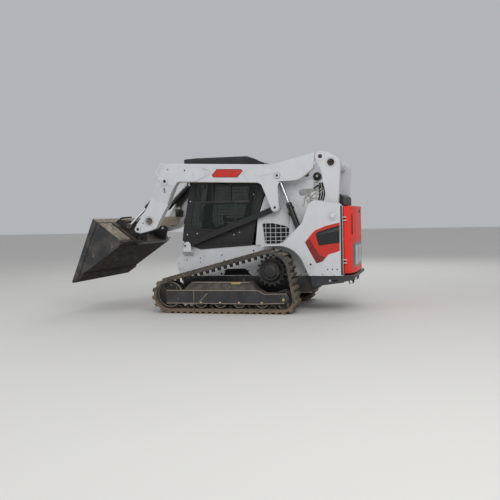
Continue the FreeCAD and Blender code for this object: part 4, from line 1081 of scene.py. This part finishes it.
# %% The bare plate, its two fields, and the gasket
crown_strip(-345, 490, 580, 890, 2.5)
piece("tailgate_blank_plate", "grey_print", "tailgate", both=False)
crown_strip(-280, 60, 625, 850, 3.5, 0.8)
crown_strip(130, 400, 605, 860, 3.5, 0.8)
piece("tailgate_blank_insets", "pale_print", "tailgate", both=False)
for low, high in (((590, 508), (606, 1366)), ((-606, 508), (-590, 1366)),
                  ((-600, 1352), (600, 1366))):
    block((-1781, *low), (-1773, *high))
for y in (-721, 721):
    block((-1771.5, y - 1.5, 488), (-1749, y + 1.5, 1376), 1)
piece("tailgate_gasket", "extruded_rubber", both=False)

# %% [markdown]
# ## Frame, bumper and belly
#
# Below the tracks' top run the frame is dark, and the opening for the drive hoses is a black hole
# drawn as painted shade. Wings at the rear carry the bumper, each with a bolt and a slot, and the
# slots' dark inside is painted shade.

# %% Dark lower sides, the hose opening, the wings
plate([(498, 462, 10), (424, 246, 40), (-1322, 246, 60), (-1500, 372, 60), (-1500, 462, 10)],
      FRAME_FACE - 1, FRAME_FACE + 2.5, 1)
piece("belly_sides", "muddy_black_enamel")
# A black block behind the hose opening: painted shade for the hole's dark inside.
block((-500, 430, 466), (-100, 440, 566))
for y, z in ((446, 500), (450, 530)):
    tube([(-120, y, z), (-220, y - 6, z + 6), (-340, y + 2, z - 8), (-470, y, z)], 14)
piece("hose_openings", "void_black")
WING_FACE = 690
bolt((-1600, 413), WING_FACE, 15)
for place in ((500, 500), (515, 559), (530, 640)):
    bolt(place, FRAME_FACE, 9)
piece("frame_bolts", "zinc_plate")
# The slots are black plates: painted shade for their dark inside.
plate([(-1626, 404, 8), (-1703, 404, 8), (-1703, 422, 8), (-1626, 422, 8)], WING_FACE - 1,
      WING_FACE + 0.8)
plate([(-982, 750, 20), (-1014, 774, 16), (-1058, 728, 30), (-1063, 658, 12), (-1040, 641, 12),
       (-991, 715, 40)], FRAME_FACE - 1, FRAME_FACE + 1)
piece("wing_slots", "void_black")

# %% Weld beads of the towers and the frame
for line in ([(-700, 470, 874), (-1000, 470, 884), (-1150, 470, 888)],
             [(345, 470, 812), (360, 566, 812), (425, 566, 812), (436, 470, 812)],
             [(-1740, 722, 1408), (-1550, 722, 1438), (-1380, 722, 1464)]):
    tube(line, 3.5, order=2)
piece("frame_weld_beads", "sprayed_white_enamel")

# %% [markdown]
# ## Undercarriage
#
# The final drive is a cast housing with a ring of cap screws and a domed cover. Rollers hang from
# the track frame on bolts with plated heads, and the belt keeps the wheels' rims bright. The
# frame's upper slope carries one blank yellow strip, and its edges are lined with dust.

# %% Final drive, roller bolts and rims
DRIVE = (-850.0, 547.0)
ROLLERS = (81, -180, -436, -740)
RAIL_FACE = 895                 # outer face of the track frame
disc(DRIVE, 848, [(-3, 82), (4, 82), (12, 76), (18, 60), (21, 36), (22, 12)], 40)
ring(DRIVE, 834, [(-2, 92), (4, 92), (5, 94), (5, 114), (3, 116), (-2, 117)], 40)
for place in around(DRIVE, 105, 12):
    bolt(place, 838, 8)
for place in around(DRIVE, 150, 16, math.pi / 16):
    bolt(place, 785, 9)
piece("final_drive_covers", "black_tool_enamel")
for x in ROLLERS:
    bolt((x, 144.3), RAIL_FACE, 15)
bolt((-1025, 185), RAIL_FACE, 19)
piece("roller_bolts", "brass_tinted_zinc")
for x in ROLLERS:
    ring((x, 156), 880, [(-1, 76), (1.2, 77), (2, 79), (1.2, 82), (-1, 83)], 40)
ring((515, 252), 872, [(-1, 158), (1.2, 159), (2, 163), (1.2, 168), (-1, 170)], 56)
piece("worn_wheel_rims", "bright_worn_rim")
for place in ((512, 196), (478, 190), (545, 240)):
    bolt(place, RAIL_FACE, 9)
disc((515, 240), RAIL_FACE, [(-1, 30), (4, 30), (6, 27), (3, 18)], 24)
piece("idler_bolts", "rusty_pin_steel")

# %% The strip on the slope, and the frame's lips and ribs
def on_slope(x, z):
    """A point on the track frame's upper slope, which leans inwards from its edge at 304 mm."""
    return Vector((x, RAIL_FACE - (z - 304) * 0.7, z))


strip = [on_slope(x, z) for x, z in ((-321, 384), (-446, 384), (-446, 400), (-321, 400))]
skin([[corner + off for corner in strip] for off in (Vector((0, -1, -0.7)), Vector((0, 0.8, 0.6)))])
piece("track_frame_strips", "yellow_print")
for y, radius, line in (
        (894, 5, [(563, 304), (-680, 304)]),
        (894, 5, [(560, 133), (160, 134), (-690, 128), (-1040, 142)]),
        (825, 5, [(228, 404), (-570, 404)]),
        (893, 5, [(-688, 305), (-775, 256), (-1070, 263)]),
        (895, 4, [(110, 150), (-6, 262)]),
        (895, 3, [(180, 140), (180, 300)])):
    tube([at(p, y) for p in line], radius, order=2)
piece("track_frame_lips", "dusty_edge")

# %% [markdown]
# ## Tool carrier and bucket
#
# The bucket hangs on a quick carrier: two levers drive wedges into its lower edge. The levers have
# bent handles and springs. The bucket has bolts along its edge and side cutters, seams on its
# belly, and a stiffener along its back.

# %% The bucket's own directions
HEEL = Vector((1145.0, 0.0, 942.0))
TOP, LIP = Vector((1576.0, 0.0, 1278.0)), Vector((1915.0, 0.0, 418.0))
BACK_WAY = (TOP - HEEL).normalized()
FLOOR_WAY = (LIP - HEEL).normalized()
BEHIND = Vector((-BACK_WAY.z, 0, BACK_WAY.x))
UNDER = Vector((FLOOR_WAY.z, 0, -FLOOR_WAY.x))
HALF = 925                      # half of the bucket's inner width


def off_back(along, off, y):
    """A point up the bucket's back from its heel, off mm behind it."""
    return HEEL + BACK_WAY * along + BEHIND * off + OUT * y


def off_floor(along, off, y):
    """A point along the bucket's floor from its heel, off mm below it."""
    return HEEL + FLOOR_WAY * along + UNDER * off + OUT * y


# %% Levers, wedges, springs
for side in (-1, 1):
    y = side * 300
    turned(off_back(300, 16, y), BEHIND, [(0, 26), (16, 26), (20, 20)], 24)
    tube([off_back(300, 30, y), off_back(330, 34, y + side * 40), (1440, y + side * 70, 1262),
          (1400, y + side * 76, 1284), (1330, y + side * 80, 1286), (1250, y + side * 84, 1290)],
         12)
    tube([off_back(300, 28, y), off_back(200, 30, y), off_back(110, 30, y)], 12, order=2)
    tube([off_back(110, 17, y), off_back(30, 17, y)], 18)
    for k in range(9):
        turned(off_back(130 + k * 9, 30, y), BACK_WAY, [(0, 15), (0, 20), (4, 20), (4, 15)], 16,
               True)
    tube([off_back(180, 60, side * 350), off_back(330, 80, side * 330),
          off_back(400, 60, side * 240), off_back(400, 30, side * 120)], 12)
piece("carrier_levers", "black_tool_enamel", "bucket", both=False)
for side in (-1, 1):
    for along in (70, 150, 330, 400):
        turned(off_back(along, 16, side * 520), BEHIND, [(-1, 9), (5, 9), (6, 6)], 6)
    turned(at(pin["tilt"], side * 394), OUT * side, [(-1, 34), (4, 34), (6, 30)])
piece("carrier_bolts", "rusty_pin_steel", "bucket", both=False)

# %% Bolts and seams of the bucket
for y in range(-840, 841, 210):
    turned(off_floor(800, 10, y), UNDER, [(-12, 15), (0, 15), (3, 12), (4, 8)], 16)
for side in (-1, 1):
    for share in (0.12, 0.34, 0.56, 0.78):
        spot = TOP.lerp(LIP, share) + Vector((-36, 0, -14))
        turned(spot + OUT * side * 929, OUT * side, [(0, 13), (9.5, 13), (11, 9)], 6)
piece("bucket_bolts", "rusty_pin_steel", "bucket", both=False)
for along in (330, 560):
    tube([off_floor(along, 1, -HALF), off_floor(along, 1, HALF)], 5)
for along, off in ((452, 3), (20, 4)):
    tube([off_back(along, off, -HALF), off_back(along, off, HALF)], 8)
piece("bucket_seams", "abraded_bucket_plate", "bucket", both=False)
for y in (-931, 931):
    tube([(1200, y, 960), (1545, y, 1236)], 3)
    tube([(1513, y, 1222), (1846, y, 452)], 3.5)
piece("bucket_side_beads", "worn_edge_steel", "bucket", both=False)

# %% [markdown]
# ## Floor, light and camera
#
# A pale floor runs to the horizon. Three large soft lamps and a pale sky light the machine evenly,
# as in a photo studio. The camera stands where the photographer stood, at the machine's left and a
# little behind its middle, with a standard lens.

# %% Floor
FLOOR_HALF = 60.0
plaster = bpy.data.materials.new("matt_studio_floor")
plaster.use_nodes = True
plaster.node_tree.nodes.clear()
node = partial(add, plaster.node_tree)
cloud = node("TexNoise", Vector=node("TexCoord").node.outputs["Object"], Scale=0.6, Detail=3.0)
colour = node("Mix", COLOUR, Factor_Float=cloud, A_Color=srgb("dcdad6", 0.97),
              B_Color=srgb("dcdad6"))
node("OutputMaterial", Surface=node("BsdfPrincipled", Base_Color=colour, Roughness=0.9))
bmesh.ops.create_grid(bench, x_segments=2, y_segments=2, size=FLOOR_HALF / MM)
floor = placed("floor", taken("floor"))
floor.data.materials.append(plaster)

# %% Sky and lamps
world = bpy.data.worlds.new("sky")
scene.world = world
world.use_nodes = True
sky = world.node_tree.nodes["Background"]
sky.inputs["Color"].default_value = srgb("eef1f4")
sky.inputs["Strength"].default_value = 0.52
MIDDLE = Vector((0, 0, 0.9))
for name, place, power in (("key", (-4.5, 8.6, 6.6), 450), ("fill", (7, 6, 4), 150),
                           ("back", (-1, -8, 7), 210)):
    light = bpy.data.lights.new(name, "AREA")
    light.size = 6
    light.energy = power
    lamp = placed(name, light)
    lamp.location = place
    lamp.rotation_euler = (MIDDLE - Vector(place)).to_track_quat("-Z", "Y").to_euler()

# %% Camera
CAMERA = {"place": (-2.867, 9.994, 1.24), "turn": 14.0, "down": 2.5, "roll": -1.2, "lens": 52.34}
camera = placed("camera", bpy.data.cameras.new("camera"))
camera.data.lens = CAMERA["lens"]
camera.data.sensor_width = 36.0
turn, down, roll = (math.radians(CAMERA[name]) for name in ("turn", "down", "roll"))
right = Vector((-math.cos(turn), -math.sin(turn), 0))
level = Vector((math.sin(turn), -math.cos(turn), 0))
aim = level * math.cos(down) - Vector((0, 0, math.sin(down)))
up = level * math.sin(down) + Vector((0, 0, math.cos(down)))
across = right * math.cos(roll) + up * math.sin(roll)
upright = up * math.cos(roll) - right * math.sin(roll)
axes = Matrix((across, upright, -aim)).transposed().to_4x4()
camera.matrix_world = Matrix.Translation(CAMERA["place"]) @ axes
scene.camera = camera
scene.view_settings.view_transform = "Standard"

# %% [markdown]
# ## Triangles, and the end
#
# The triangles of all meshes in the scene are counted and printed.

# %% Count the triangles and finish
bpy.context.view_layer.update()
meshes = [item.data for item in scene.objects if item.type == "MESH"]
print("triangles:", sum(len(p.vertices) - 2 for mesh in meshes for p in mesh.polygons))
